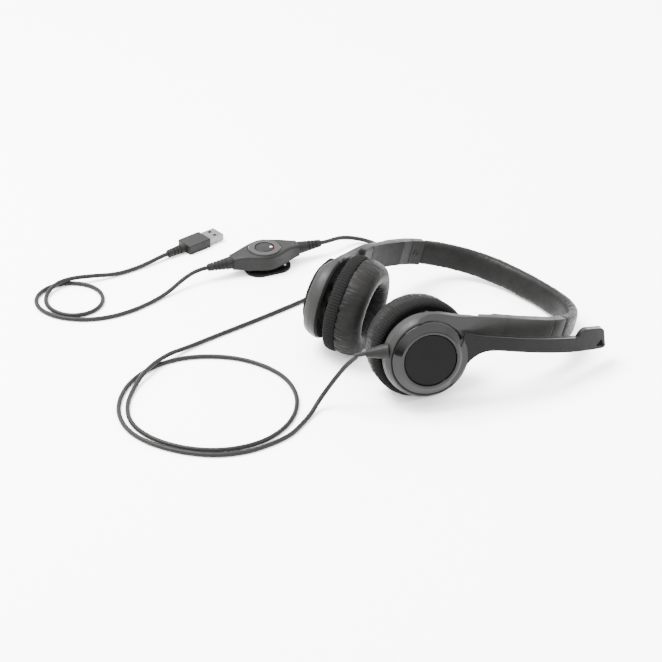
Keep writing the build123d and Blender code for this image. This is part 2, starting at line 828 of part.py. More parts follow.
def cushion(side):
    """The soft ear cushion, a plain donut."""
    frame = CUP_FRAMES[side]
    outline = (
        (CUSHION_HOLE_RADIUS, SEAM_HEIGHT - 0.05),
        (CUP_RADIUS - 1.9, SEAM_HEIGHT - 0.05),
        (CUP_RADIUS - 1.0, SEAM_HEIGHT - 2.0),
        (CUP_RADIUS - 0.8, -19.5),
        (CUP_RADIUS - 1.8, -24.5),
        (CUP_RADIUS - 4.8, -28.6),
        (CUP_RADIUS - 8.6, CUSHION_FACE_HEIGHT),
        (CUSHION_HOLE_RADIUS + 4.5, -28.8),
        (CUSHION_HOLE_RADIUS + 1.0, -25.5),
        (CUSHION_HOLE_RADIUS, -21.5),
    )
    with BuildPart() as piece:
        turned(frame, *outline)
        if side == "right":
            to_the_right()
    keep(piece, f"{side}_ear_cushion")


# ---- headband -------------------------------------------------------------------------------
def collar(side):
    """The moulded end of the band that the tongue slides in."""
    with BuildPart() as piece:
        band_slab(SPLIT + SPLIT_GAP, COLLAR_END, -COLLAR_HALF_THICKNESS, COLLAR_HALF_THICKNESS, ARM_HALF_WIDTH)
        fillet(piece.edges().filter_by(GeomType.CIRCLE), 0.8)
        tongue_box(TONGUE_OUTSIDE_ARM + 2, TONGUE_CLEARANCE, Mode.SUBTRACT)
        if side == "right":
            side_mark()
            to_the_right()
    keep(piece, f"{side}_collar")


def side_mark():
    """A raised ring on the collar's inner face, by which fingers tell the right side from the left."""
    foot = BAND.from_local_coords(band_point(MARK_HEADING, 0.3 - COLLAR_HALF_THICKNESS))
    crest = BAND.from_local_coords(band_point(MARK_HEADING, -0.35 - COLLAR_HALF_THICKNESS))
    with BuildSketch(Plane(foot, x_dir=BAND.z_dir, z_dir=crest - foot)) as profile:
        Circle(2.2)
        Circle(1.3, mode=Mode.SUBTRACT)
    extrude(profile.sketch, amount=(crest - foot).length)


def band_wrap():
    """The soft wrap of the band: a closed tube from collar to collar."""
    start = COLLAR_END + 0.1
    with BuildPart() as piece:
        band_slab(start, CROWN, -WRAP_HALF_THICKNESS, WRAP_HALF_THICKNESS, WRAP_HALF_WIDTH)
        mirror(about=MIDDLE)
        fillet(piece.edges().filter_by(GeomType.CIRCLE), 2.6)
        inside = WRAP_HALF_THICKNESS - WRAP_WALL
        band_slab(start, CROWN, -inside, inside, WRAP_HALF_WIDTH - WRAP_WALL, Mode.SUBTRACT)
        with BuildSketch(BAND):
            with BuildLine():
                for offset in (-inside, inside):
                    band_edge(start, CROWN, offset)
                Line(band_point(start, -inside), band_point(start, inside))
                Line(band_point(CROWN, -inside), band_point(CROWN, inside))
            make_face()
            mirror(about=Plane.XZ, mode=Mode.REPLACE)
        extrude(amount=WRAP_HALF_WIDTH - WRAP_WALL, both=True, mode=Mode.SUBTRACT)
    keep(piece, "band_wrap")


def band_core():
    """The spring steel strip that presses the cups to the head."""
    with BuildPart() as piece:
        band_slab(CORE_START, CROWN, -2.3, -1.5, TONGUE_HALF_WIDTH)
        mirror(about=MIDDLE)
    keep(piece, "band_core")


def band_foam():
    """The foam strip between the spring and the wrap."""
    with BuildPart() as piece:
        band_slab(FOAM_START, CROWN, -1.45, 2.5, TONGUE_HALF_WIDTH + 1)
        mirror(about=MIDDLE)
    keep(piece, "band_foam")


# ---- strain relief of the headset cord ------------------------------------------------------
def headset_relief():
    """The smooth tapered boot where the cord leaves the left ring."""
    exit_plane = cord_exit()
    with BuildPart() as piece:
        turned(exit_plane, (0, -2), (5.2, -2), (4.4, 3.0), (3.3, 7.5), (2.5, RELIEF_LENGTH), (0, RELIEF_LENGTH))
        turned(
            LEFT_RING,
            (0, LIP_HEIGHT),
            (RIM_RADIUS, LIP_HEIGHT),
            (RIM_RADIUS, 2.2),
            (RIM_RADIUS - 0.8, 5.6),
            (SHOULDER_RADIUS + 0.5, 8.7),
            (0, 8.7),
            mode=Mode.SUBTRACT,
        )
        turned(exit_plane, (0, -1.2), (CORD_RADIUS + 1.3, -1.2), (CORD_RADIUS + 1.3, 2), (0, 2))
    keep(piece, "headset_relief")


# ---- inline controller ----------------------------------------------------------------------
def controller_outline(inset=0.0):
    """The controller seen from above: an eye, wide at the dial and narrow at both cords."""
    belly = CONTROLLER_BELLY - inset
    neck = CONTROLLER_NECK - inset
    end = CONTROLLER_SPLIT - inset
    with BuildLine() as outline:
        for side in (1, -1):
            Spline(
                (-end, side * neck),
                (-13, side * (belly - 4.2)),
                (0, side * belly),
                (13, side * (belly - 4.2)),
                (end, side * neck),
                tangents=((1, side * 0.12), (1, -side * 0.12)),
            )
        Line((-end, neck), (-end, -neck))
        Line((end, neck), (end, -neck))
    make_face(outline.edges())


def controller_profile():
    """Cut a shell to the controller's side view, which slims towards both boots."""
    end = CONTROLLER_SPLIT + 1
    with BuildSketch(section_of(CONTROLLER)) as profile:
        with BuildLine():
            Line((-9, CONTROLLER_BASE), (9, CONTROLLER_BASE))
            Spline((9, CONTROLLER_BASE), (end, 5.5), tangents=((1, 0), (1, 0.1)))
            Line((end, 5.5), (end, 14.4))
            Spline((end, 14.4), (13, CONTROLLER_TOP), tangents=((-1, 0.1), (-1, 0)))
            Line((13, CONTROLLER_TOP), (-13, CONTROLLER_TOP))
            Spline((-13, CONTROLLER_TOP), (-end, 14.4), tangents=((-1, 0), (-1, -0.1)))
            Line((-end, 14.4), (-end, 5.5))
            Spline((-end, 5.5), (-9, CONTROLLER_BASE), tangents=((1, -0.1), (1, 0)))
        make_face()
    extrude(profile.sketch, amount=2 * CONTROLLER_BELLY, both=True, mode=Mode.INTERSECT)


def dial_room(radius, low, high, mode):
    """A round pocket or disc in the middle of the controller."""
    turned(CONTROLLER, (0, low), (radius, low), (radius, high), (0, high), mode=mode)


def controller_base():
    """The lower shell, with the two ears that carry the clip's pin."""
    with BuildPart() as piece:
        with BuildSketch(CONTROLLER.offset(CONTROLLER_BASE)):
            controller_outline()
        extrude(amount=CONTROLLER_MID - CONTROLLER_BASE - 0.05)
        controller_profile()
        fillet(piece.faces().sort_by(Axis.Z)[0].edges(), 2.0)
        with BuildSketch(CONTROLLER.offset(CONTROLLER_BASE + 1.4)):
            controller_outline(1.6)
        extrude(amount=6, mode=Mode.SUBTRACT)
        # a pocket for the clip's barrels and spring
        block(CONTROLLER, (5.0, 13.2, 3.2), (CLIP_PIN_X, 0, CONTROLLER_BASE), Mode.SUBTRACT)
        for y in (-7.5, 7.5):
            block(CONTROLLER, (3.0, 1.6, 2.6), (CLIP_PIN_X, y, CLIP_PIN_Z + 1.3))
            rod(CONTROLLER, "y", (CLIP_PIN_X, y, CLIP_PIN_Z), 1.45, 1.6)
            rod(CONTROLLER, "y", (CLIP_PIN_X, y, CLIP_PIN_Z), 0.85, 3, Mode.SUBTRACT)
    keep(piece, "controller_base")


def controller_top():
    """The upper shell, with the dial's round recess."""
    with BuildPart() as piece:
        with BuildSketch(CONTROLLER.offset(CONTROLLER_MID)):
            controller_outline()
        extrude(amount=CONTROLLER_TOP - CONTROLLER_MID)
        controller_profile()
        fillet(piece.faces().sort_by(Axis.Z)[-1].edges(), 2.0)
        with BuildSketch(CONTROLLER.offset(CONTROLLER_MID)):
            controller_outline(1.6)
        extrude(amount=1.0, mode=Mode.SUBTRACT)
        dial_room(ROCKER_RADIUS + DIAL_CLEARANCE, DIAL_FLOOR, CONTROLLER_TOP + 1, Mode.SUBTRACT)
        dial_room(1.3, CONTROLLER_MID, DIAL_FLOOR, Mode.SUBTRACT)
        rod(CONTROLLER, "y", (0, 0, 14.0), 0.75, 2 * ROCKER_RADIUS + 2.2, Mode.SUBTRACT)
    keep(piece, "controller_top")


def volume_rocker():
    """The volume ring, which tilts on two pins across the controller."""
    inner = MUTE_RADIUS + 0.5
    with BuildPart() as piece:
        rod(CONTROLLER, "y", (0, 0, 14.0), 0.7, 2 * ROCKER_RADIUS + 1.8)
        turned(
            CONTROLLER,
            (0, DIAL_FLOOR),
            (inner, DIAL_FLOOR),
            (inner, ROCKER_TOP),
            (0, ROCKER_TOP),
            mode=Mode.SUBTRACT,
        )
        turned(
            CONTROLLER,
            (inner, DIAL_FLOOR + 1.0),
            (ROCKER_RADIUS, DIAL_FLOOR + 1.0),
            (ROCKER_RADIUS, ROCKER_TOP - 0.6),
            (ROCKER_RADIUS - 0.6, ROCKER_TOP),
            (inner + 0.3, ROCKER_TOP),
            (inner, ROCKER_TOP - 0.3),
        )
    keep(piece, "volume_rocker")


def mute_button():
    """The domed button in the middle of the volume ring, with its stem down to the switch."""
    with BuildPart() as piece:
        turned(
            CONTROLLER,
            (0, 11.2),
            (1.25, 11.2),
            (1.25, DIAL_FLOOR + 1.0),
            (MUTE_RADIUS, DIAL_FLOOR + 1.0),
            (MUTE_RADIUS, ROCKER_TOP - 0.3),
            (MUTE_RADIUS - 1.0, ROCKER_TOP + 0.1),
            (0, ROCKER_TOP + 0.5),
        )
        block(CONTROLLER, (2.0, 2.0, 4.0), (4.3, -1.4, ROCKER_TOP), Mode.SUBTRACT)
    keep(piece, "mute_button")


def mute_light():
    """The small red lens in the mute button."""
    with BuildPart() as piece:
        block(CONTROLLER, (1.9, 1.9, 1.9), (4.3, -1.4, ROCKER_TOP - 1.0))
    keep(piece, "mute_light")


def controller_board():
    """The circuit board with the mute switch and the two volume switches."""
    low = CONTROLLER_BASE + 3.0
    with BuildPart() as piece:
        block(CONTROLLER, (30, 12, 1.0), (0, 0, low))
        for x in (-9, 0, 9):
            block(CONTROLLER, (3.6, 3.6, 1.6), (x, 0, low + 1.2))
    keep(piece, "controller_board")


def ribbed_boot(frame, length, start_radius, end_radius, ribs):
    """A tapered rubber boot along a frame's z, with grooves near its far end."""
    pitch = 2.7
    groove = 1.2
    first = length - 2.4 - ribs * pitch
    taper = (end_radius - start_radius) / length

    def radius(at):
        return start_radius + taper * at

    outline = [(0, 0), (start_radius, 0)]
    for rib in range(ribs):
        start = first + rib * pitch
        stop = start + groove
        outline.append((radius(start), start))
        outline.append((radius(start) - 0.7, start + 0.1))
        outline.append((radius(stop) - 0.7, stop - 0.1))
        outline.append((radius(stop), stop))
    outline.append((end_radius, length - 0.5))
    outline.append((end_radius - 0.4, length))
    outline.append((0, length))
    turned(frame, *outline)


def controller_boot(node, direction, ribs):
    """One of the two boots where a cord enters the controller."""
    start = CONTROLLER.from_local_coords(Vector(direction * (CONTROLLER_SPLIT + 0.05), 0, CORD_LEVEL))
    frame = Plane(start, x_dir=CONTROLLER.y_dir, z_dir=CONTROLLER.x_dir * direction)
    with BuildPart() as piece:
        ribbed_boot(frame, CONTROLLER_RELIEF_LENGTH - 0.05, CONTROLLER_NECK - 0.2, 2.6, ribs)
    keep(piece, node)


def controller_clip():
    """The clothing clip under the controller: a rounded plate with a barrel on the pin."""
    with BuildPart() as piece:
        with BuildSketch(CONTROLLER):
            with Locations((1.5, 0)):
                RectangleRounded(33, 25, 10)
        extrude(amount=CLIP_THICKNESS)
        # the jaw's raised lip
        with BuildSketch(CONTROLLER):
            with Locations((-13, 0)):
                RectangleRounded(2.0, 11, 0.9)
        extrude(amount=CONTROLLER_BASE - 0.6)
        for y in (-5.1, 5.1):
            rod(CONTROLLER, "y", (CLIP_PIN_X, y, CLIP_PIN_Z), 1.6, 2.2)
            block(CONTROLLER, (2.4, 2.2, 2.6), (CLIP_PIN_X, y, 2.2))
        rod(CONTROLLER, "y", (CLIP_PIN_X, 0, CLIP_PIN_Z), 0.9, 15, Mode.SUBTRACT)
    keep(piece, "controller_clip")


def clip_pin():
    with BuildPart() as piece:
        rod(CONTROLLER, "y", (CLIP_PIN_X, 0, CLIP_PIN_Z), 0.85, 16.8)
    keep(piece, "clip_pin")


def clip_spring():
    """The clip's torsion spring, as the tube it winds into."""
    with BuildPart() as piece:
        rod(CONTROLLER, "y", (CLIP_PIN_X, 0, CLIP_PIN_Z), 1.5, 6.6)
        rod(CONTROLLER, "y", (CLIP_PIN_X, 0, CLIP_PIN_Z), 0.85, 8, Mode.SUBTRACT)
    keep(piece, "clip_spring")


# ---- USB plug -------------------------------------------------------------------------------
def usb_shell_box(clearance, start, stop, mode=Mode.ADD):
    """The outside of the metal shell between two distances along the plug."""
    size = (stop - start, USB_WIDTH + 2 * clearance, USB_HEIGHT + 2 * clearance)
    block(PLUG, size, ((start + stop) / 2, 0, PLUG_HEIGHT / 2), mode)


def usb_grip():
    with BuildPart() as piece:
        with BuildSketch(PLUG):
            RectangleRounded(PLUG_LENGTH, PLUG_WIDTH, 0.9)
        extrude(amount=PLUG_HEIGHT)
        fillet(piece.faces().sort_by(Axis.Z)[-1].edges(), 0.7)
        fillet(piece.faces().sort_by(Axis.Z)[0].edges(), 0.5)
        usb_shell_box(0, PLUG_LENGTH / 2 - USB_SEATED, PLUG_LENGTH / 2 + 1, Mode.SUBTRACT)
    keep(piece, "usb_grip")


def usb_shell():
    start = PLUG_LENGTH / 2 - USB_SEATED
    stop = PLUG_LENGTH / 2 + USB_LENGTH
    with BuildPart() as piece:
        usb_shell_box(0, start, stop)
        usb_shell_box(-USB_WALL, start - 1, stop + 1, Mode.SUBTRACT)
        for y in (-2.9, 2.9):
            block(PLUG, (2.4, 2.4, 20), (PLUG_LENGTH / 2 + 6.6, y, 0), Mode.SUBTRACT)
    keep(piece, "usb_shell")


def usb_insulator():
    """The plastic tongue in the lower half of the shell."""
    low = (PLUG_HEIGHT - USB_HEIGHT) / 2 + USB_WALL
    start = PLUG_LENGTH / 2 - USB_SEATED
    stop = PLUG_LENGTH / 2 + USB_LENGTH - 0.4
    with BuildPart() as piece:
        block(PLUG, (stop - start, USB_WIDTH - 2 * USB_WALL, 1.9), ((start + stop) / 2, 0, low + 0.95))
    keep(piece, "usb_insulator")


def usb_contacts():
    """Four gilded contact strips on the insulator."""
    low = (PLUG_HEIGHT - USB_HEIGHT) / 2 + USB_WALL + 1.9
    with BuildPart() as piece:
        for y in (-3.5, -1.0, 1.0, 3.5):
            block(PLUG, (8.0, 1.0, 0.15), (PLUG_LENGTH / 2 + USB_LENGTH - 5.2, y, low + 0.075))
    keep(piece, "usb_contacts")


def usb_boot():
    start = PLUG.from_local_coords(Vector(-PLUG_LENGTH / 2, 0, PLUG_HEIGHT / 2))
    frame = Plane(start, x_dir=PLUG.y_dir, z_dir=-PLUG.x_dir)
    with BuildPart() as piece:
        ribbed_boot(frame, PLUG_RELIEF_LENGTH, 3.3, 2.7, 3)
    keep(piece, "usb_boot")


# ---- cords ----------------------------------------------------------------------------------
def bend_radii(points):
    """The largest arcs that fit the route, each touching its runs 0.45 of the shorter one away."""
    radii = []
    for before, here, after in zip(points, points[1:], points[2:]):
        turn = (here - before).get_angle(after - here)
        shorter = min((here - before).length, (after - here).length)
        radii.append(0.45 * shorter / tan(radians(turn) / 2))
    return radii


def cord(node, start, route, finish):
    """A cord from one boot to another, leaving each one straight."""
    first = start.origin + start.z_dir * CORD_LEAD
    last = finish.origin + finish.z_dir * CORD_LEAD
    points = [start.origin, first, *[Vector(*point) for point in route], last, finish.origin]
    radii = bend_radii(points)
    print(node, "bend radii", *[round(radius, 1) for radius in radii])
    print(node, "ends", *[tuple(round(x, 2) for x in end) for end in (start.origin, first, last, finish.origin)])
    with BuildPart() as piece:
        with BuildLine() as line:
            FilletPolyline(*points, radius=radii)
        with BuildSketch(start):
            Circle(CORD_RADIUS)
        sweep()
    length = sum(edge.length for edge in line.edges())
    share = piece.part.volume / (pi * CORD_RADIUS**2 * length)
    print(node, "length", round(length, 1), "mm, volume over section times length", round(share, 4))
    keep(piece, node)


def controller_port(direction):
    """The tip of one of the controller's boots, facing out."""
    reach = CONTROLLER_SPLIT + CONTROLLER_RELIEF_LENGTH
    tip = CONTROLLER.from_local_coords(Vector(direction * reach, 0, CORD_LEVEL))
    return Plane(tip, x_dir=CONTROLLER.y_dir, z_dir=CONTROLLER.x_dir * direction)


def plug_port():
    """The tip of the USB plug's boot, facing out."""
    tip = PLUG.from_local_coords(Vector(-PLUG_LENGTH / 2 - PLUG_RELIEF_LENGTH, 0, PLUG_HEIGHT / 2))
    return Plane(tip, x_dir=PLUG.y_dir, z_dir=-PLUG.x_dir)


for side in ("left", "right"):
    housing(side)
    arm_cover(side)
    slide_tongue(side)
    housing_cover(side)
    trim_retainer(side)
    cap_disc(side)
    swivel_cross(side)
    cup_back(side)
    cup_screws(side)
    knit_ring(side)
    baffle(side)
    driver(side)
    diaphragm(side)
    ear_screen(side)
    cushion(side)
    collar(side)
right_trim_ring()
mic_boom()
mic_boom_cover()
mic_capsule()
mic_port_mesh()
band_wrap()
band_core()
band_foam()
headset_relief()
controller_base()
controller_top()
volume_rocker()
mute_button()
mute_light()
controller_board()
controller_boot("controller_boot_in", 1, 3)
controller_boot("controller_boot_out", -1, 4)
controller_clip()
clip_pin()
clip_spring()
usb_grip()
usb_shell()
usb_insulator()
usb_contacts()
usb_boot()
cord("cord_headset", cord_exit().offset(RELIEF_LENGTH), HEADSET_ROUTE, controller_port(1))
cord("cord_usb", controller_port(-1), USB_ROUTE, plug_port())
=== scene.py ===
import bpy
import bmesh
from math import copysign, cos, exp, hypot, pi, radians, sin
from mathutils import Matrix, Vector, noise

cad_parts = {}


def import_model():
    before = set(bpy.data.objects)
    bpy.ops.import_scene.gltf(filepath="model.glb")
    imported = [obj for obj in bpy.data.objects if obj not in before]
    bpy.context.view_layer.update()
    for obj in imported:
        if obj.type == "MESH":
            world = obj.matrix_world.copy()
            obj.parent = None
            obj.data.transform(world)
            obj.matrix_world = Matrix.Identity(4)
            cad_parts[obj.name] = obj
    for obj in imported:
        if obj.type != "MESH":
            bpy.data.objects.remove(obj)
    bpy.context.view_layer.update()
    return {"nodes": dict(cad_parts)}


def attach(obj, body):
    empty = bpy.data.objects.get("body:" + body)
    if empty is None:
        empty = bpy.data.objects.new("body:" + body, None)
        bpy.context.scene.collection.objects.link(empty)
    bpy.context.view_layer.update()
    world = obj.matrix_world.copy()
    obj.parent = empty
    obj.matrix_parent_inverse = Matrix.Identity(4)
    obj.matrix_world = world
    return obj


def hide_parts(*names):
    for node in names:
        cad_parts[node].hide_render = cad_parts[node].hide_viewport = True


# A wired office headset on a pale floor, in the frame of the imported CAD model. Sizes, outlines and
# routes are written in millimetres, as in the CAD source, and MM turns them into Blender's metres.
# The floor, the light and the camera are in metres from the start.

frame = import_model()
MM = 0.001

# ---- the CAD frames that the soft pieces are built in ----------------------------------------
HEADSET_AT = (-58.9, 8.2, 34.88)  # midway between the ring centres
TILT = 19.5  # the band's plane dips this many degrees towards the crown
CUP_SPACING = 45.0  # middle plane to the middle of each ring
TOE = 27.0  # each ring leans this many degrees off the middle plane
PIVOT_HEIGHT = -3.75  # the cup's swivel, in the ring's frame
CUP_REST = {"left": (6.0, 2.5), "right": (-1.0, -1.0)}  # turn and nod as the cups lie, degrees
RIM_RADIUS = 28.5
ARM_HALF_WIDTH = 8.7
ARM_HALF_THICKNESS = 3.2
BAND_FRONT = 22.5  # the band runs this far in front of the ring centres
BAND_BENDS = ((222.0, 21.45), (57.0, 35.3), (49.6, 47.9))  # radius and degrees turned, from the ear up
CROWN = 90.0  # the band's heading at its crown, degrees

REST = Matrix.Translation(Vector(HEADSET_AT) * MM) @ Matrix.Rotation(radians(TILT), 4, "Y")
MIRROR = Matrix.Translation((0, 2 * HEADSET_AT[1] * MM, 0)) @ Matrix.Diagonal((1, -1, 1, 1))
LEFT_RING = (
    REST
    @ Matrix.Translation(Vector((0, -CUP_SPACING, 0)) * MM)
    @ Matrix.Rotation(radians(-TOE), 4, "Z")
    @ Matrix.Rotation(radians(90), 4, "X")
)
RINGS = {"left": LEFT_RING, "right": MIRROR @ LEFT_RING}


def cup_frame(side):
    """One side's ring frame, swivelled as its ear cup lies at rest. The right one is mirrored."""
    turn, nod = CUP_REST[side]
    pivot = Matrix.Translation((0, 0, PIVOT_HEIGHT * MM))
    swivel = Matrix.Rotation(radians(turn), 4, "Y") @ Matrix.Rotation(radians(-nod), 4, "X")
    cup = LEFT_RING @ pivot @ swivel @ pivot.inverted()
    return MIRROR @ cup if side == "right" else cup


CUPS = {side: cup_frame(side) for side in ("left", "right")}


# ---- falls and rises that the shapes share ----------------------------------------------------
def climb(value, start, stop):
    """0 before start, 1 after stop, straight between."""
    return max(0.0, min(1.0, (value - start) / (stop - start)))


def ramp(value, start, stop):
    """0 before start, 1 after stop, smooth between."""
    share = climb(value, start, stop)
    return share * share * (3 - 2 * share)


def stretch(value, start, full, fading, stop):
    """0 before start, 1 from full to fading, 0 after stop, smooth between."""
    return ramp(value, start, full) * (1 - ramp(value, fading, stop))


def bell(value, middle, width):
    """1 at the middle, falling off on both sides over the width."""
    return exp(-(((value - middle) / width) ** 2))


# ---- materials --------------------------------------------------------------------------------
class Tree:
    """Strings shader nodes together."""

    def __init__(self, tree):
        self.tree = tree

    def add(self, kind, **values):
        """A new node. Each value sets the property of that name, or else the input of that name."""
        node = self.tree.nodes.new(kind)
        for key, value in values.items():
            if hasattr(node, key):
                setattr(node, key, value)
            else:
                node.inputs[key.replace("_", " ")].default_value = value
        return node

    def link(self, output, target):
        self.tree.links.new(output, target)

    def coordinates(self, kind):
        return self.add("ShaderNodeTexCoord").outputs[kind]

    def spread(self, source, low, high, start=0.0, stop=1.0, **values):
        """Map a source from start..stop on to low..high."""
        node = self.add("ShaderNodeMapRange", **values)
        self.link(source, node.inputs["Value"])
        node.inputs["From Min"].default_value = start
        node.inputs["From Max"].default_value = stop
        node.inputs["To Min"].default_value = low
        node.inputs["To Max"].default_value = high
        return node.outputs["Result"]

    def maths(self, operation, *operands):
        """A sum on other nodes' outputs and plain floats."""
        node = self.add("ShaderNodeMath", operation=operation)
        for socket, operand in zip(node.inputs, operands):
            if isinstance(operand, float):
                socket.default_value = operand
            else:
                self.link(operand, socket)
        return node.outputs["Value"]


class Look(Tree):
    """A material's nodes, round its one Principled shader."""

    def __init__(self, name):
        self.material = bpy.data.materials.new(name)
        self.material.use_nodes = True
        super().__init__(self.material.node_tree)
        self.shader = self.tree.nodes["Principled BSDF"]
        self.coords = self.coordinates("Object")

    def noise(self, scale, detail, roughness=0.5, vector=None):
        node = self.add("ShaderNodeTexNoise", Scale=scale, Detail=detail, Roughness=roughness)
        self.link(vector or self.coords, node.inputs["Vector"])
        return node.outputs["Fac"]

    def cells(self, scale):
        node = self.add("ShaderNodeTexVoronoi", feature="F1", Scale=scale)
        self.link(self.coords, node.inputs["Vector"])
        return node.outputs["Distance"]

    def blend(self, factor, first, second):
        node = self.add("ShaderNodeMix", data_type="RGBA")
        self.link(factor, node.inputs["Factor"])
        node.inputs["A"].default_value = (*first, 1)
        node.inputs["B"].default_value = (*second, 1)
        return node.outputs["Result"]

    def bump(self, height, strength, distance, under=None):
        node = self.add("ShaderNodeBump", Strength=strength, Distance=distance)
        self.link(height, node.inputs["Height"])
        if under:
            self.link(under, node.inputs["Normal"])
        return node.outputs["Normal"]

    def finish(self, colour, roughness=None, normal=None, **constants):
        """Join what was made to the shader, set its other inputs and hand over the material."""
        for name, value in constants.items():
            self.shader.inputs[name.replace("_", " ")].default_value = value
        self.link(colour, self.shader.inputs["Base Color"])
        if roughness is not None:
            self.link(roughness, self.shader.inputs["Roughness"])
        if normal is not None:
            self.link(normal, self.shader.inputs["Normal"])
        return self.material


def grey(value, warmth=0.0):
    return (value * (1 + warmth), value, value * (1 - warmth))


def moulded_plastic(name, tone, rough, grain, specular):
    """Satin moulded plastic: faint mottling, an uneven sheen and spark-eroded grain."""
    look = Look(name)
    mottle = look.noise(scale=60, detail=4)
    shade = look.spread(mottle, 0, 1, 0.35, 0.65)
    colour = look.blend(shade, grey(tone * 0.94, 0.02), grey(tone * 1.06, 0.02))
    sheen = look.noise(scale=220, detail=3)
    roughness = look.spread(sheen, rough - 0.05, rough + 0.06, 0.3, 0.7)
    fine = look.bump(look.noise(scale=5200, detail=2), grain, 0.04 * MM)
    return look.finish(colour, roughness, fine, Specular_IOR_Level=specular)


def polished_plastic(name, tone, rough, specular):
    """Gloss plastic: faint waviness and duller, wiped patches."""
    look = Look(name)
    mottle = look.noise(scale=40, detail=3)
    colour = look.blend(mottle, grey(tone * 0.9), grey(tone * 1.1))
    wipes = look.noise(scale=300, detail=5)
    roughness = look.spread(wipes, rough, rough + 0.08, 0.4, 0.8)
    wave = look.bump(look.noise(scale=160, detail=2), 0.04, 0.1 * MM)
    return look.finish(colour, roughness, wave, Specular_IOR_Level=specular)


def leatherette(name, tone, specular):
    """Soft leatherette: creases, pebble grain and pores, with an uneven sheen."""
    look = Look(name)
    mottle = look.noise(scale=90, detail=4)
    shade = look.spread(mottle, 0, 1, 0.3, 0.7)
    colour = look.blend(shade, grey(tone * 0.8, 0.03), grey(tone * 1.25, 0.03))
    roughness = look.spread(look.noise(scale=500, detail=4), 0.36, 0.56, 0.3, 0.7)
    creases = look.bump(look.noise(scale=240, detail=5, roughness=0.6), 0.25, 0.3 * MM)
    pebbles = look.bump(look.cells(1500), 0.22, 0.12 * MM, creases)
    pores = look.bump(look.noise(scale=6000, detail=2), 0.1, 0.04 * MM, pebbles)
    return look.finish(colour, roughness, pores, Specular_IOR_Level=specular)


def knit(name, tone):
    """Knitted yarn: small loops and fuzz, with a painted highlight in each loop's middle and painted
    shade between the loops.
    """
    look = Look(name)
    loops = look.cells(2600)
    # painted light: each loop is painted paler in its middle and darker towards its edge, as painted
    # shade in the gaps between loops
    shade = look.spread(loops, 0, 1, 0.0, 0.5)
    colour = look.blend(shade, grey(tone * 1.4, 0.02), grey(tone * 0.55, 0.02))
    yarn = look.bump(loops, 0.7, 0.2 * MM)
    fuzz = look.bump(look.noise(scale=7000, detail=3), 0.35, 0.1 * MM, yarn)
    return look.finish(colour, None, fuzz, Roughness=0.9, Specular_IOR_Level=0.05)


def rubber(name, tone, rough, specular):
    """Soft PVC: an uneven sheen, dust and a fine extruded grain."""
    look = Look(name)
    dust = look.spread(look.noise(scale=130, detail=5), 0, 1, 0.4, 0.7)
    colour = look.blend(dust, grey(tone, 0.02), grey(tone * 1.15, 0.02))
    sheen = look.noise(scale=420, detail=3)
    roughness = look.spread(sheen, rough - 0.06, rough + 0.08, 0.3, 0.7)
    grain = look.bump(look.noise(scale=3200, detail=3), 0.12, 0.05 * MM)
    return look.finish(colour, roughness, grain, Specular_IOR_Level=specular)


def metal(name, tone, rough, stretched=(1, 30, 30)):
    """Drawn steel: fine lines along one axis and a mild uneven shine."""
    look = Look(name)
    mapping = look.add("ShaderNodeMapping")
    look.link(look.coords, mapping.inputs["Vector"])
    mapping.inputs["Scale"].default_value = stretched
    lines = look.noise(scale=300, detail=4, roughness=0.6, vector=mapping.outputs["Vector"])
    colour = look.blend(lines, grey(tone * 0.92), grey(tone))
    roughness = look.spread(lines, rough - 0.05, rough + 0.1, 0.3, 0.7)
    return look.finish(colour, roughness, look.bump(lines, 0.05, 0.02 * MM), Metallic=1.0)


def glowing_lens(name, colour, strength):
    """A lit lens, mottled between its own colour and a paler one."""
    look = Look(name)
    glow = look.blend(look.noise(scale=900, detail=2), colour, (1.0, 0.25, 0.1))
    look.link(glow, look.shader.inputs["Emission Color"])
    return look.finish(glow, Roughness=0.2, Emission_Strength=strength)


def cloth(name, tone):
    """Thin open cloth: threads with small dark holes between them."""
    look = Look(name)
    holes = look.cells(3200)
    colour = look.blend(look.spread(holes, 0, 1, 0.1, 0.5), grey(tone), grey(tone * 0.3))
    weave = look.bump(holes, 0.5, 0.1 * MM)
    return look.finish(colour, None, weave, Roughness=0.95, Specular_IOR_Level=0.05)


def floor_paint(name):
    """Even pale paint with the faintest clouds."""
    look = Look(name)
    colour = look.blend(look.noise(scale=3, detail=2), grey(0.9), grey(0.93))
    return look.finish(colour, Roughness=0.75, Specular_IOR_Level=0.1)
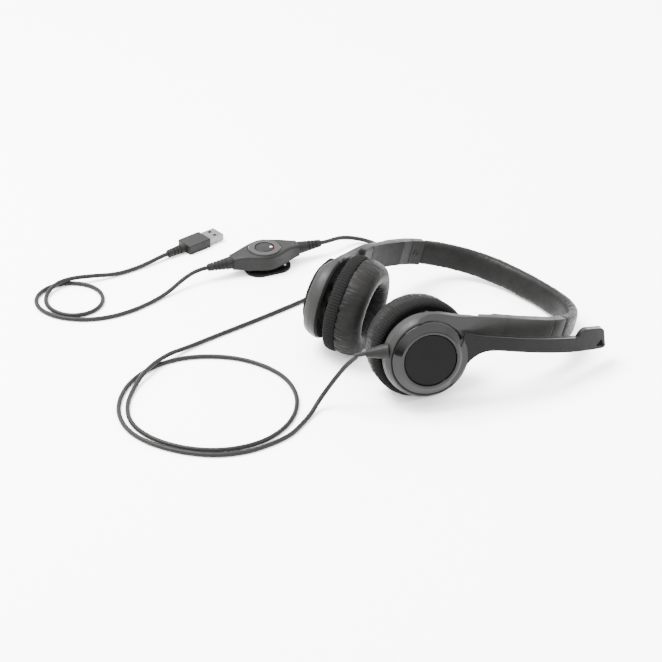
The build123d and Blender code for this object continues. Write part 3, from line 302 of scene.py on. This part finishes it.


# The tones are low because the tent is bright: they are set for this light.
MATERIALS = {
    "shell": moulded_plastic("satin_shell", tone=0.0098, rough=0.44, grain=0.12, specular=0.09),
    "boom": moulded_plastic("satin_boom", tone=0.0042, rough=0.44, grain=0.12, specular=0.045),
    "still_gloss": moulded_plastic("still_trim", tone=0.0065, rough=0.3, grain=0.03, specular=0.0),
    "gloss": polished_plastic("gloss_trim", tone=0.0022, rough=0.06, specular=0.17),
    "disc": moulded_plastic("dark_disc", tone=0.0024, rough=0.4, grain=0.06, specular=0.035),
    "black": moulded_plastic("matte_black", tone=0.0018, rough=0.6, grain=0.2, specular=0.03),
    "inner": moulded_plastic("dark_satin", tone=0.0036, rough=0.42, grain=0.1, specular=0.05),
    "collar": moulded_plastic("satin_collar", tone=0.0050, rough=0.42, grain=0.1, specular=0.08),
    "leather": leatherette("leatherette", tone=0.0048, specular=0.04),
    "wrap": leatherette("band_leatherette", tone=0.0044, specular=0.06),
    "knit": knit("rib_knit", tone=0.0062),
    "mesh": cloth("screen_cloth", tone=0.003),
    "foam": rubber("foam", tone=0.01, rough=0.9, specular=0.05),
    "steel": metal("spring_steel", tone=0.15, rough=0.3),
    "usb_metal": metal("bright_steel", tone=0.1, rough=0.2, stretched=(30, 2, 30)),
    "gold": metal("gilded", tone=0.2, rough=0.2),
    "painted": moulded_plastic("painted_steel", tone=0.01, rough=0.35, grain=0.1, specular=0.1),
    "film": moulded_plastic("driver_film", tone=0.015, rough=0.3, grain=0.1, specular=0.1),
    "board": rubber("board", tone=0.006, rough=0.4, specular=0.1),
    "controller": moulded_plastic("controller_shell", tone=0.0056, rough=0.45, grain=0.12, specular=0.09),
    "rocker": polished_plastic("rocker_gloss", tone=0.0056, rough=0.16, specular=0.14),
    "button": moulded_plastic("button_satin", tone=0.0044, rough=0.4, grain=0.06, specular=0.08),
    "light": glowing_lens("red_light", colour=(1.0, 0.03, 0.01), strength=4.0),
    "cord": rubber("cord_jacket", tone=0.0066, rough=0.45, specular=0.08),
    "boot": rubber("boot_rubber", tone=0.0052, rough=0.5, specular=0.07),
}

FINISHES = {
    "housing": "shell",
    "arm_cover": "inner",
    "slide_tongue": "steel",
    "housing_cover": "black",
    "trim_retainer": "black",
    "cap_disc": "disc",
    "trim_ring": "still_gloss",
    "mic_boom": "shell",
    "mic_boom_cover": "inner",
    "mic_capsule": "painted",
    "mic_port_mesh": "mesh",
    "swivel_cross": "black",
    "cup_back": "disc",
    "cup_screws": "steel",
    "knit_ring": "knit",
    "baffle": "black",
    "driver": "painted",
    "diaphragm": "film",
    "ear_screen": "mesh",
    "ear_cushion": "leather",
    "collar": "collar",
    "band_wrap": "wrap",
    "band_core": "steel",
    "band_foam": "foam",
    "headset_relief": "boot",
    "controller_base": "controller",
    "controller_top": "controller",
    "volume_rocker": "rocker",
    "mute_button": "button",
    "mute_light": "light",
    "controller_board": "board",
    "controller_boot_in": "boot",
    "controller_boot_out": "boot",
    "controller_clip": "inner",
    "clip_pin": "steel",
    "clip_spring": "steel",
    "usb_grip": "controller",
    "usb_shell": "usb_metal",
    "usb_insulator": "black",
    "usb_contacts": "gold",
    "usb_boot": "boot",
    "cord_headset": "cord",
    "cord_usb": "cord",
}


def finish_cad_nodes():
    """Give each CAD node its material, which is the same on the left and on the right."""
    for name in frame["nodes"]:
        general = name.removeprefix("left_").removeprefix("right_")
        materials = bpy.data.objects[name].data.materials
        materials.clear()
        materials.append(MATERIALS[FINISHES[general]])


finish_cad_nodes()


# ---- mesh helpers -----------------------------------------------------------------------------
def in_scene(name, data):
    """A new object that holds this data, linked to the scene."""
    piece = bpy.data.objects.new(name, data)
    bpy.context.scene.collection.objects.link(piece)
    return piece


def mesh_object(name, points, faces, material, smooth=True):
    mesh = bpy.data.meshes.new(name)
    mesh.from_pydata(points, [], faces)
    mesh.update()
    if smooth:
        mesh.shade_smooth()
    mesh.materials.append(material)
    return in_scene(name, mesh)


def grid_faces(rows, columns, close_rows=False):
    """Quads over rows of points. Each row is a loop, and close_rows joins the last row to the first."""
    faces = []
    for row in range(rows if close_rows else rows - 1):
        here = row * columns
        below = (row + 1) % rows * columns
        for column in range(columns):
            right = (column + 1) % columns
            faces.append((here + column, here + right, below + right, below + column))
    return faces


def facing_out(piece):
    """Turn every face of a closed piece outward."""
    work = bmesh.new()
    work.from_mesh(piece.data)
    bmesh.ops.recalc_face_normals(work, faces=work.faces)
    work.to_mesh(piece.data)
    work.free()


def soften(piece, factor, passes, group=""):
    """Add a smoothing of the whole piece, or of a vertex group by its weights."""
    smoothing = piece.modifiers.new("soften", "SMOOTH")
    smoothing.factor = factor
    smoothing.iterations = passes
    smoothing.vertex_group = group


def apply_modifiers(piece):
    shaped = bpy.data.meshes.new_from_object(piece.evaluated_get(bpy.context.evaluated_depsgraph_get()))
    piece.modifiers.clear()
    piece.data = shaped
    piece.data.shade_smooth()


def remeshed(name, node, voxel, material, body):
    """A softened copy of a CAD node, whose edges are rounded as a mould leaves them."""
    piece = in_scene(name, bpy.data.objects[node].data.copy())
    remesh = piece.modifiers.new("voxels", "REMESH")
    remesh.mode = "VOXEL"
    remesh.voxel_size = voxel
    remesh.use_smooth_shade = True
    soften(piece, factor=0.5, passes=4)
    apply_modifiers(piece)
    piece.data.materials.clear()
    piece.data.materials.append(MATERIALS[material])
    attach(piece, body)
    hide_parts(node)
    return piece


# ---- housings and boom, by place in the ring's frame --------------------------------------------
HOUSING_VOXEL = 0.4 * MM
BOOM_VOXEL = 0.35 * MM
TRIM_RADIUS = 24.6 * MM  # the polished ring lies inside this radius
TRIM_FOOT = 8.9 * MM  # and above this height
EDGE_FACING = 0.8  # the y of a normal from which a face belongs to the boom's front edge
BEVEL_RADIUS = 23.6  # where the boom's root leaves the ring's bevel
BEVEL_WIDTH = 2.6
ROOT_START = 12.0
ROOT_FOOT = 9.4
ARM_FRONT = BAND_FRONT + ARM_HALF_WIDTH
ARM_BOW = 2 * BAND_BENDS[0][0]  # the arm falls by x squared over this, as it follows the first bend
NECK_REACH = (-14.0, 50.0)  # the x between which the neck's front edge is thinned
NECK_INSIDE = 22.0  # the y from which it is thinned
NECK_SLOPE = 0.9  # how steeply the thinned edge rises towards the ring
FRONT_GROWS = (8, 44)  # the x over which the thinned edge goes from the rim out to the arm's front
# The x at which each stretch of the neck begins to melt, melts fully, begins to fade and has faded.
NEAR_ARM = (21, 27, 36, 40)
FAR_ARM = (34, 40, 58, 66)
ALONG_RIM = (-16, -8, 24, 30)
# Where melting begins and is full: in y from the rim outward, in z, and in z above the arm's own line.
BEYOND_RIM = (22.5, 26)
ABOVE_RIM = (-1, 1.5)
ABOVE_ARM = (-1.5, 0.5)


def polish_trim(piece):
    """Give the turning ring, and the boom's front edge, the polished finish."""
    piece.data.materials.append(MATERIALS["gloss"])
    to_ring = LEFT_RING.inverted()
    turn = to_ring.to_3x3()
    for face in piece.data.polygons:
        place = to_ring @ face.center
        facing = turn @ face.normal
        on_ring = hypot(place.x, place.y) < TRIM_RADIUS and place.z > TRIM_FOOT
        on_edge = place.x > TRIM_RADIUS and facing.y > EDGE_FACING
        face.material_index = 1 if on_ring or on_edge else 0


def root_weight(place):
    """How far the boom's root melts into the ring's bevel."""
    if place.x <= ROOT_START or place.z <= ROOT_FOOT:
        return 0.0
    return bell(hypot(place.x, place.y), BEVEL_RADIUS, BEVEL_WIDTH)


def neck_weight(place):
    """How far the housing's neck melts into the ring and the arm."""
    arm_line = -(place.x**2) / ARM_BOW
    outer_side = ramp(place.z - arm_line, *ABOVE_ARM)
    near_arm = stretch(place.x, *NEAR_ARM)
    far_arm = stretch(place.x, *FAR_ARM)
    along_rim = ramp(place.y, *BEYOND_RIM) * stretch(place.x, *ALONG_RIM)
    return min(1.0, near_arm + outer_side * far_arm + along_rim * ramp(place.z, *ABOVE_RIM))


def slim_neck(piece, ring):
    """Thin the neck's front edge, which is rounded off like the ring's shoulder."""
    to_ring = ring.inverted()
    back = to_ring.inverted()
    for vertex in piece.data.vertices:
        place = (to_ring @ vertex.co) / MM
        if not NECK_REACH[0] <= place.x <= NECK_REACH[1] or place.y < NECK_INSIDE:
            continue
        front = RIM_RADIUS + (ARM_FRONT - RIM_RADIUS) * ramp(place.x, *FRONT_GROWS)
        arm_top = ARM_HALF_THICKNESS - place.x**2 / ARM_BOW
        crest = arm_top + NECK_SLOPE * max(0.0, front - place.y)
        if place.y > front or place.z > crest:
            place.y = min(place.y, front)
            place.z = min(place.z, crest)
            vertex.co = back @ (place * MM)


def melt(piece, ring, weight, passes):
    """Smooth a piece where a weight says so."""
    to_ring = ring.inverted()
    group = piece.vertex_groups.new(name="melt")
    for vertex in piece.data.vertices:
        share = weight((to_ring @ vertex.co) / MM)
        if share > 0:
            group.add([vertex.index], share, "REPLACE")
    soften(piece, factor=0.6, passes=passes, group="melt")
    apply_modifiers(piece)


def housing(side):
    """The outer ring and arm in one moulding, with a soft neck between them."""
    piece = remeshed(f"{side}_housing_body", f"{side}_housing", HOUSING_VOXEL, "shell", f"{side}_arm")
    slim_neck(piece, RINGS[side])
    melt(piece, RINGS[side], neck_weight, passes=90)


def boom_shell():
    """The turning ring and the boom's outer shell in one moulding."""
    piece = remeshed("mic_boom_shell", "mic_boom", BOOM_VOXEL, "boom", "mic_boom")
    melt(piece, LEFT_RING, root_weight, passes=40)
    polish_trim(piece)


housing("left")
housing("right")
boom_shell()


# ---- ear cushions: radius and height in the cup's frame -----------------------------------------
CUSHION_PROFILE = (
    (15.6, -14.6),
    (24.0, -14.5),
    (30.9, -14.5),
    (31.8, -16.2),
    (32.2, -19.6),
    (31.7, -23.6),
    (29.7, -27.4),
    (26.4, -29.6),
    (22.8, -30.0),
    (19.2, -28.6),
    (16.9, -25.6),
    (15.8, -21.4),
    (15.5, -17.6),
)

CUSHION_MIDDLE = Vector((24.0, -22.0))  # the middle of the padding's section
CUSHION_ROWS = 72
CUSHION_COLUMNS = 360
CUSHION_SEEDS = {"left": 3.0, "right": 11.0}  # so that the two cushions wrinkle differently
CURVE_STEPS = 16
SEAM_GATHER = 0.62  # how deep each kind of wrinkle is
SIDE_GATHER = 0.22
SIDE_SLACK = 0.42
HOLE_PUCKER = 0.5
SEAM_ZONE = (-15.5, 4.5)  # height and spread of the gathers at the seam
HOLE_ZONE = (17.0, 2.6)  # radius and spread of the puckers round the hole
HOLE_DEPTHS = (17.0, 21.0)  # the depths over which those puckers grow
OUTER_RADII = (25.0, 32.0)  # the radii over which the wrinkles of the outer side grow
JOIN_COLUMNS = 14  # the step at a full turn is eased over this many columns on each side


def smooth_loop(points, count):
    """Evenly spaced points on a closed Catmull-Rom curve through the given ones."""
    dense = []
    size = len(points)
    for index in range(size):
        a, b, c, d = (Vector(points[(index + shift) % size]) for shift in (-1, 0, 1, 2))
        bend = 2 * a - 5 * b + 4 * c - d
        twist = 3 * b - a - 3 * c + d
        for step in range(CURVE_STEPS):
            t = step / CURVE_STEPS
            dense.append(0.5 * (2 * b + (c - a) * t + bend * t**2 + twist * t**3))
    dense.append(dense[0])
    lengths = [0.0]
    for before, after in zip(dense, dense[1:]):
        lengths.append(lengths[-1] + (after - before).length)
    result = []
    index = 0
    for step in range(count):
        target = lengths[-1] * step / count
        while lengths[index + 1] < target:
            index += 1
        share = (target - lengths[index]) / (lengths[index + 1] - lengths[index])
        result.append(dense[index].lerp(dense[index + 1], share))
    return result


def around(cup, radius, angle, height):
    """A point on a cup, from its place round the cup's axis."""
    return cup @ (Vector((radius * cos(angle), radius * sin(angle), height)) * MM)


def ear_cushion(side):
    """A padded donut whose skin gathers at the seam and puckers round the hole."""
    cup = CUPS[side]
    seed = CUSHION_SEEDS[side]
    loop = smooth_loop(CUSHION_PROFILE, CUSHION_ROWS)
    points = []
    for row, (radius, height) in enumerate(loop):
        ahead = loop[(row + 1) % CUSHION_ROWS] - loop[row - 1]
        normal = Vector((ahead.y, -ahead.x)).normalized()
        if normal.dot(loop[row] - CUSHION_MIDDLE) < 0:
            normal = -normal
        outer = climb(radius, *OUTER_RADII)
        near_seam = bell(height, *SEAM_ZONE)
        near_hole = bell(radius, *HOLE_ZONE) * climb(-height, *HOLE_DEPTHS)
        for column in range(CUSHION_COLUMNS):
            angle = 2 * pi * column / CUSHION_COLUMNS
            place = Vector((cos(angle), sin(angle), 0))
            gather = noise.noise(Vector((angle * 15.0, height * 0.10, seed)))
            gather += 0.6 * noise.noise(Vector((angle * 31.0, height * 0.16, seed + 5)))
            slack = noise.noise(place * 2.4 + Vector((0, 0, height * 0.12 + seed)))
            pucker = noise.noise(Vector((angle * 9.0, height * 0.22, seed + 9)))
            lift = SEAM_GATHER * gather * near_seam * outer + SIDE_SLACK * slack * outer
            lift += HOLE_PUCKER * pucker * near_hole + SIDE_GATHER * gather * outer
            points.append(around(cup, radius + normal.x * lift, angle, height + normal.y * lift))
    faces = grid_faces(CUSHION_ROWS, CUSHION_COLUMNS, close_rows=True)
    piece = mesh_object(f"{side}_cushion_skin", points, faces, MATERIALS["leather"])
    ease_join(piece, cup)
    facing_out(piece)
    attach(piece, f"{side}_cup")
    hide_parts(f"{side}_ear_cushion")


def ease_join(piece, cup):
    """Fade the step in a cushion's wrinkles where the turn closes, as the noise doesn't repeat there."""
    to_cup = cup.inverted()
    vertices = piece.data.vertices
    for row in range(CUSHION_ROWS):
        start = row * CUSHION_COLUMNS
        first = to_cup @ vertices[start].co
        last = to_cup @ vertices[start + CUSHION_COLUMNS - 1].co
        radius_step = hypot(first.x, first.y) - hypot(last.x, last.y)
        height_step = first.z - last.z
        for shift in range(JOIN_COLUMNS):
            fade = 0.5 * (1 - shift / JOIN_COLUMNS)
            for column, sign in ((shift, -1), (CUSHION_COLUMNS - 1 - shift, 1)):
                vertex = vertices[start + column]
                place = to_cup @ vertex.co
                radius = hypot(place.x, place.y)
                scale = (radius + sign * radius_step * fade) / radius
                height = place.z + sign * height_step * fade
                vertex.co = cup @ Vector((place.x * scale, place.y * scale, height))


for side in ("left", "right"):
    ear_cushion(side)


# ---- knit rings: radius and height in the cup's frame -------------------------------------------
KNIT_PROFILE = (
    (28.3, -6.35),
    (28.5, -5.95),
    (29.6, -5.85),
    (30.7, -6.05),
    (31.6, -6.7),
    (32.3, -7.7),
    (32.75, -9.2),
    (32.95, -11.0),
    (32.75, -12.8),
    (32.2, -14.1),
    (31.6, -14.5),
    (30.9, -14.4),
    (30.9, -8.0),
    (30.3, -6.4),
)
RIBBED_POINTS = range(1, 10)  # the others are tucked in or lie against the cup
RIBS = 104
COLUMNS_PER_RIB = 8
RIB_DEPTH = 0.55
BACK_RIB_SHARE = 0.7  # how deep the ribs are on the cup's back face, against the outside
RIBBED_RADII = (29.6, 32.2)  # the radii over which the outside's ribs grow
RIBBED_HEIGHTS = (-8.4, -6.0)  # the heights over which the back face's ribs grow
RIB_WANDER = 0.008  # sideways, radians


def knit_ring(side):
    """The rib-knit band: ribs along the cup's axis on a bulged ring, tucked in at both edges."""
    columns = RIBS * COLUMNS_PER_RIB
    points = []
    for index, (radius, height) in enumerate(KNIT_PROFILE):
        ribbed = index in RIBBED_POINTS
        outward_share = climb(radius, *RIBBED_RADII) if ribbed else 0.0
        backward_share = climb(height, *RIBBED_HEIGHTS) if ribbed else 0.0
        for column in range(columns):
            angle = 2 * pi * column / columns
            dip = RIB_DEPTH * (1 - abs(cos(angle * RIBS / 2)) ** 0.7)
            wander = RIB_WANDER * noise.noise(Vector((cos(angle) * 4, sin(angle) * 4, height * 0.5)))
            r = radius - dip * outward_share
            h = height - dip * BACK_RIB_SHARE * backward_share
            points.append(around(CUPS[side], r, angle + wander, h))
    faces = grid_faces(len(KNIT_PROFILE), columns, close_rows=True)
    piece = mesh_object(f"{side}_knit_band", points, faces, MATERIALS["knit"])
    facing_out(piece)
    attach(piece, f"{side}_cup")
    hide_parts(f"{side}_knit_ring")


for side in ("left", "right"):
    knit_ring(side)


# ---- the band's middle line ---------------------------------------------------------------------
def outward(heading):
    """The direction away from the band's inside, in the headset's plane."""
    return Vector((sin(radians(heading)), -cos(radians(heading)), 0))


def band_layout():
    """Centre, radius, first and last heading of each arc of the band's left half."""
    arcs = []
    heading = -TOE
    point = Vector((0, -CUP_SPACING, 0))
    for radius, turned in BAND_BENDS:
        centre = point - outward(heading) * radius
        arcs.append((centre, radius, heading, heading + turned))
        heading += turned
        point = centre + outward(heading) * radius
    crown_radius = -point.y / cos(radians(heading))
    arcs.append((point - outward(heading) * crown_radius, crown_radius, heading, CROWN))
    return arcs


BAND_ARCS = band_layout()


def band_station(heading):
    """The band's middle line and outward direction at a heading: 0 is the left split, 90 the crown and
    180 the right split."""
    mirrored = heading > CROWN
    own = 2 * CROWN - heading if mirrored else heading
    for centre, radius, first, last in BAND_ARCS:
        if first <= own <= last:
            away = outward(own)
            point = centre + away * radius
            if mirrored:
                point.y = -point.y
                away.y = -away.y
            return point, away
    raise ValueError(heading)


def even_stations(start, stop, count):
    """Headings spaced evenly along the band's length, each with the length up to it."""
    steps = 2000
    fine = [start + (stop - start) * step / steps for step in range(steps + 1)]
    lengths = [0.0]
    for before, after in zip(fine, fine[1:]):
        lengths.append(lengths[-1] + (band_station(after)[0] - band_station(before)[0]).length)
    result = []
    index = 0
    for step in range(count):
        target = lengths[-1] * step / (count - 1)
        while index < len(lengths) - 2 and lengths[index + 1] < target:
            index += 1
        result.append((fine[index], target))
    return result


# ---- the band's wrap ----------------------------------------------------------------------------
WRAP_START = 11.6  # heading where the wrap leaves the collar, degrees
WRAP_HALF_WIDTH = 8.6
WRAP_HALF_THICKNESS = 3.9
WRAP_ROWS = 620
WRAP_COLUMNS = 96
END_TUCK = 0.16  # the wrap is this much narrower where it enters a collar
END_TUCK_LENGTH = 1.6
SEAM_FROM_MIDDLE = 6.4
SEAM_DEPTH = 0.30
SEAM_WIDTH = 0.28
LIP_FROM_SEAM = 0.8
LIP_HEIGHT = 0.12
LIP_WIDTH = 0.5
WIDTH_POWER = 0.55  # powers below 1 make the wrap's section squarer than an ellipse
THICKNESS_POWER = 0.75
EDGE_ZONE = (0.97, 0.22)  # where across the wrap, 1 being its edge, the puckers are, and their spread
EDGE_PUCKER = 0.17  # how high each kind of unevenness is
EDGE_CRINKLE = 0.11
BROAD_WAVE = 0.16
SKIN_CRINKLE = 0.05
INSIDE_SLACK = 1.25  # the head's side is looser than the outside
OUTSIDE_SLACK = 0.75


def rounded(value, power):
    """A sine or cosine, made squarer by a power below 1."""
    return copysign(abs(value) ** power, value)


def seam_height(across):
    """The sewn seam near the front edge of the outer face: a narrow groove with a soft lip."""
    offset = across * WRAP_HALF_WIDTH - SEAM_FROM_MIDDLE
    lip = LIP_HEIGHT * bell(abs(offset), LIP_FROM_SEAM, LIP_WIDTH)
    return lip - SEAM_DEPTH * bell(offset, 0, SEAM_WIDTH)


def band_wrap():
    """The padded leatherette tube, puckered along its edges and most of all inside, with a sewn seam."""
    points = []
    stations = even_stations(WRAP_START, 2 * CROWN - WRAP_START, WRAP_ROWS)
    total = stations[-1][1]
    for heading, length in stations:
        centre, away = band_station(heading)
        end = min(length, total - length)
        tuck = 1 - END_TUCK * exp(-end / END_TUCK_LENGTH)
        for column in range(WRAP_COLUMNS):
            turn = 2 * pi * column / WRAP_COLUMNS
            across = rounded(cos(turn), WIDTH_POWER)
            through = rounded(sin(turn), THICKNESS_POWER)
            edge = bell(abs(across), *EDGE_ZONE)
            pull = noise.noise(Vector((length * 0.16, across * 1.3, through * 0.7 + 4)))
            fine = noise.noise(Vector((length * 0.42, across * 1.1, through * 0.5 + 9)))
            broad = noise.noise(Vector((length * 0.055, across * 0.7, through + 21)))
            slack = INSIDE_SLACK if through < 0 else OUTSIDE_SLACK
            lift = (EDGE_PUCKER * pull + EDGE_CRINKLE * fine) * edge * slack
            lift += BROAD_WAVE * broad * slack
            lift += SKIN_CRINKLE * fine
            seam = seam_height(across) if through > 0 else 0.0
            width = (WRAP_HALF_WIDTH + lift) * across * tuck
            depth = (WRAP_HALF_THICKNESS + lift * 0.8) * through * tuck + seam
            spot = centre + away * depth
            points.append(REST @ (Vector((spot.x, spot.y, BAND_FRONT + width)) * MM))
    faces = grid_faces(WRAP_ROWS, WRAP_COLUMNS)
    # closed ends, hidden in the collars
    for row in (0, WRAP_ROWS - 1):
        faces.append(tuple(row * WRAP_COLUMNS + column for column in range(WRAP_COLUMNS)))
    piece = mesh_object("band_wrap_skin", points, faces, MATERIALS["wrap"])
    facing_out(piece)
    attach(piece, "headband")
    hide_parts("band_wrap")


band_wrap()


# ---- cords --------------------------------------------------------------------------------------
# The routes of the CAD source, with the straight leads at the fittings written out. The headset cord's
# fall from the relief to the table is moved by less than 10 mm.
HEADSET_ROUTE = (
    (-94.5, -20.4, 41.1),
    (-99.3, -16.8, 40.5),
    (-99.1, -16.6, 38.5),
    (-102.0, -10.6, 31.0),
    (-106.6, -5.6, 20.8),
    (-111.4, -1.9, 11.4),
    (-118.0, -1.6, 5.2),
    (-126.2, -5.2, 2.2),
    (-138.2, -10.1, 1.5),
    (-149.8, -14.3, 1.5),
    (-162.9, -15.0, 1.5),
    (-182.9, -12.1, 1.5),
    (-200.4, -2.3, 1.5),
    (-213.9, 13.7, 1.5),
    (-222.9, 32.2, 1.5),
    (-226.1, 52.2, 1.5),
    (-220.9, 71.7, 1.5),
    (-208.9, 87.7, 1.5),
    (-191.9, 99.7, 1.5),
    (-170.9, 105.2, 1.5),
    (-149.9, 102.2, 1.5),
    (-131.9, 90.7, 1.5),
    (-118.9, 74.7, 1.5),
    (-112.1, 55.7, 1.5),
    (-111.7, 36.2, 1.5),
    (-118.9, 17.7, 1.5),
    (-131.4, 3.2, 1.5),
    (-147.9, -6.3, 1.5),
    (-166.9, -9.6, 1.5),
    (-185.4, -5.1, 1.5),
    (-200.9, 5.2, 1.5),
    (-213.4, 21.7, 1.5),
    (-220.1, 41.2, 1.5),
    (-219.4, 61.2, 1.5),
    (-209.9, 78.2, 1.5),
    (-195.9, 90.7, 1.6),
    (-179.4, 99.9, 5.0),
    (-156.9, 106.5, 5.0),
    (-137.9, 108.6, 1.9),
    (-115.9, 108.5, 1.5),
    (-82.9, 106.8, 1.5),
    (-44.9, 106.0, 1.5),
    (-16.9, 107.0, 1.5),
    (5.1, 108.8, 1.5),
    (23.1, 111.2, 1.5),
    (39.2, 112.2, 1.5),
    (49.4, 121.7, 1.5),
    (50.2, 135.6, 1.6),
    (41.5, 146.2, 4.2),
    (28.2, 147.5, 8.8),
    (16.8, 147.0, 10.0),
    (11.0, 148.7, 10.0),
)
USB_ROUTE = (
    (-71.6, 172.7, 10.0),
    (-77.4, 174.4, 10.0),
    (-88.7, 175.2, 8.0),
    (-106.4, 173.5, 2.2),
    (-120.9, 171.7, 1.5),
    (-138.4, 171.0, 1.5),
    (-155.9, 174.4, 1.5),
    (-170.9, 183.2, 1.5),
    (-181.9, 197.2, 1.5),
    (-185.2, 214.2, 1.5),
    (-178.9, 228.4, 1.5),
    (-163.9, 235.2, 1.5),
    (-149.4, 231.2, 1.5),
    (-139.9, 219.2, 1.5),
    (-139.2, 204.2, 1.5),
    (-147.9, 191.0, 1.5),
    (-161.9, 186.8, 1.5),
    (-174.7, 193.2, 1.5),
    (-179.9, 208.2, 1.5),
    (-174.4, 223.7, 1.6),
    (-160.9, 231.4, 4.2),
    (-147.9, 229.8, 5.0),
    (-134.4, 223.4, 4.6),
    (-116.9, 218.0, 1.6),
    (-100.3, 216.0, 1.7),
    (-87.2, 215.6, 2.7),
    (-80.4, 215.6, 3.5),
    (-74.4, 215.6, 3.5),
)
CORD_RADIUS = 1.5 * MM


def cord_piece(name, route, node):
    """A round cord on one smooth spline with the route's points as its control points."""
    curve = bpy.data.curves.new(name, "CURVE")
    curve.dimensions = "3D"
    curve.bevel_depth = CORD_RADIUS
    curve.bevel_resolution = 6
    curve.resolution_u = 16
    curve.use_fill_caps = True
    spline = curve.splines.new("NURBS")
    spline.points.add(len(route) - 1)
    for point, place in zip(spline.points, route):
        point.co = (*(Vector(place) * MM), 1)
    spline.order_u = 3
    spline.use_endpoint_u = True
    curve.materials.append(MATERIALS["cord"])
    piece = in_scene(name, curve)
    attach(piece, "left_arm")
    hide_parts(node)
    return piece


headset_cord = cord_piece("headset_cord", HEADSET_ROUTE, "cord_headset")
usb_cord = cord_piece("usb_cord", USB_ROUTE, "cord_usb")


# ---- floor, light and camera --------------------------------------------------------------------
FLOOR_REACH = 6.0
OVERHEAD_LIGHT = 6.6  # strengths of the tent's light
BOARD_LIGHT = 5.5
GAP_LIGHT = 0.3
OVERHEAD_FROM = 0.02  # the sines of the elevations between which the overhead light grows
OVERHEAD_TO = 0.6
BOARDS = 5.0  # how many stand round the table
BOARD_EDGE = 0.15  # how soft their edges are
KEY_AT = (-0.5, 0.6, 1.5)
KEY_TARGET = (0, 0.05, 0)
KEY_SIZE = 0.8
KEY_WATTS = 150
CAMERA_AT = Vector((-0.86670, -0.89480, 0.77438))
CAMERA_LOOK = Vector((0.552, 0.649, -0.5235))
FOCAL_LENGTH = 119.64  # this and the sensor's width are in millimetres
SENSOR_WIDTH = 36.0


def floor_piece():
    corners = ((-1, -1), (1, -1), (1, 1), (-1, 1))
    points = [(x * FLOOR_REACH, y * FLOOR_REACH, 0) for x, y in corners]
    piece = mesh_object("floor", points, [(0, 1, 2, 3)], floor_paint("pale_floor"), smooth=False)


def aim(holder, place, direction):
    """Put a light or camera in its place, looking in a direction."""
    holder.location = place
    holder.rotation_euler = direction.to_track_quat("-Z", "Y").to_euler()


def softbox(name, place, target, size, power):
    """A square area light that shines from one place towards another."""
    light = bpy.data.lights.new(name, "AREA")
    light.shape = "SQUARE"
    light.size = size
    light.energy = power
    aim(in_scene(name, light), place, Vector(target) - Vector(place))


def world():
    """A white tent round the table: brightest overhead, dimmer towards the horizon."""
    studio = bpy.data.worlds.new("studio")
    studio.use_nodes = True
    tent = Tree(studio.node_tree)
    split = tent.add("ShaderNodeSeparateXYZ")
    tent.link(tent.coordinates("Generated"), split.inputs["Vector"])
    smooth = {"interpolation_type": "SMOOTHSTEP"}
    overhead = tent.spread(split.outputs["Z"], 0.0, OVERHEAD_LIGHT, OVERHEAD_FROM, OVERHEAD_TO, **smooth)
    # upright white boards with dark gaps between them, which show near the horizon
    heading = tent.maths("ARCTAN2", split.outputs["Y"], split.outputs["X"])
    wave = tent.maths("SINE", tent.maths("MULTIPLY", heading, BOARDS))
    boards = tent.spread(wave, GAP_LIGHT, BOARD_LIGHT, -BOARD_EDGE, BOARD_EDGE, **smooth)
    background = studio.node_tree.nodes["Background"]
    tent.link(tent.maths("MAXIMUM", overhead, boards), background.inputs["Strength"])
    background.inputs["Color"].default_value = (1, 1, 1, 1)
    bpy.context.scene.world = studio


def camera():
    view = bpy.data.cameras.new("camera")
    view.lens = FOCAL_LENGTH
    view.sensor_width = SENSOR_WIDTH
    view.clip_start = 0.05
    holder = in_scene("camera", view)
    aim(holder, CAMERA_AT, CAMERA_LOOK)
    bpy.context.scene.camera = holder


floor_piece()
world()
softbox("key", KEY_AT, KEY_TARGET, KEY_SIZE, KEY_WATTS)
camera()
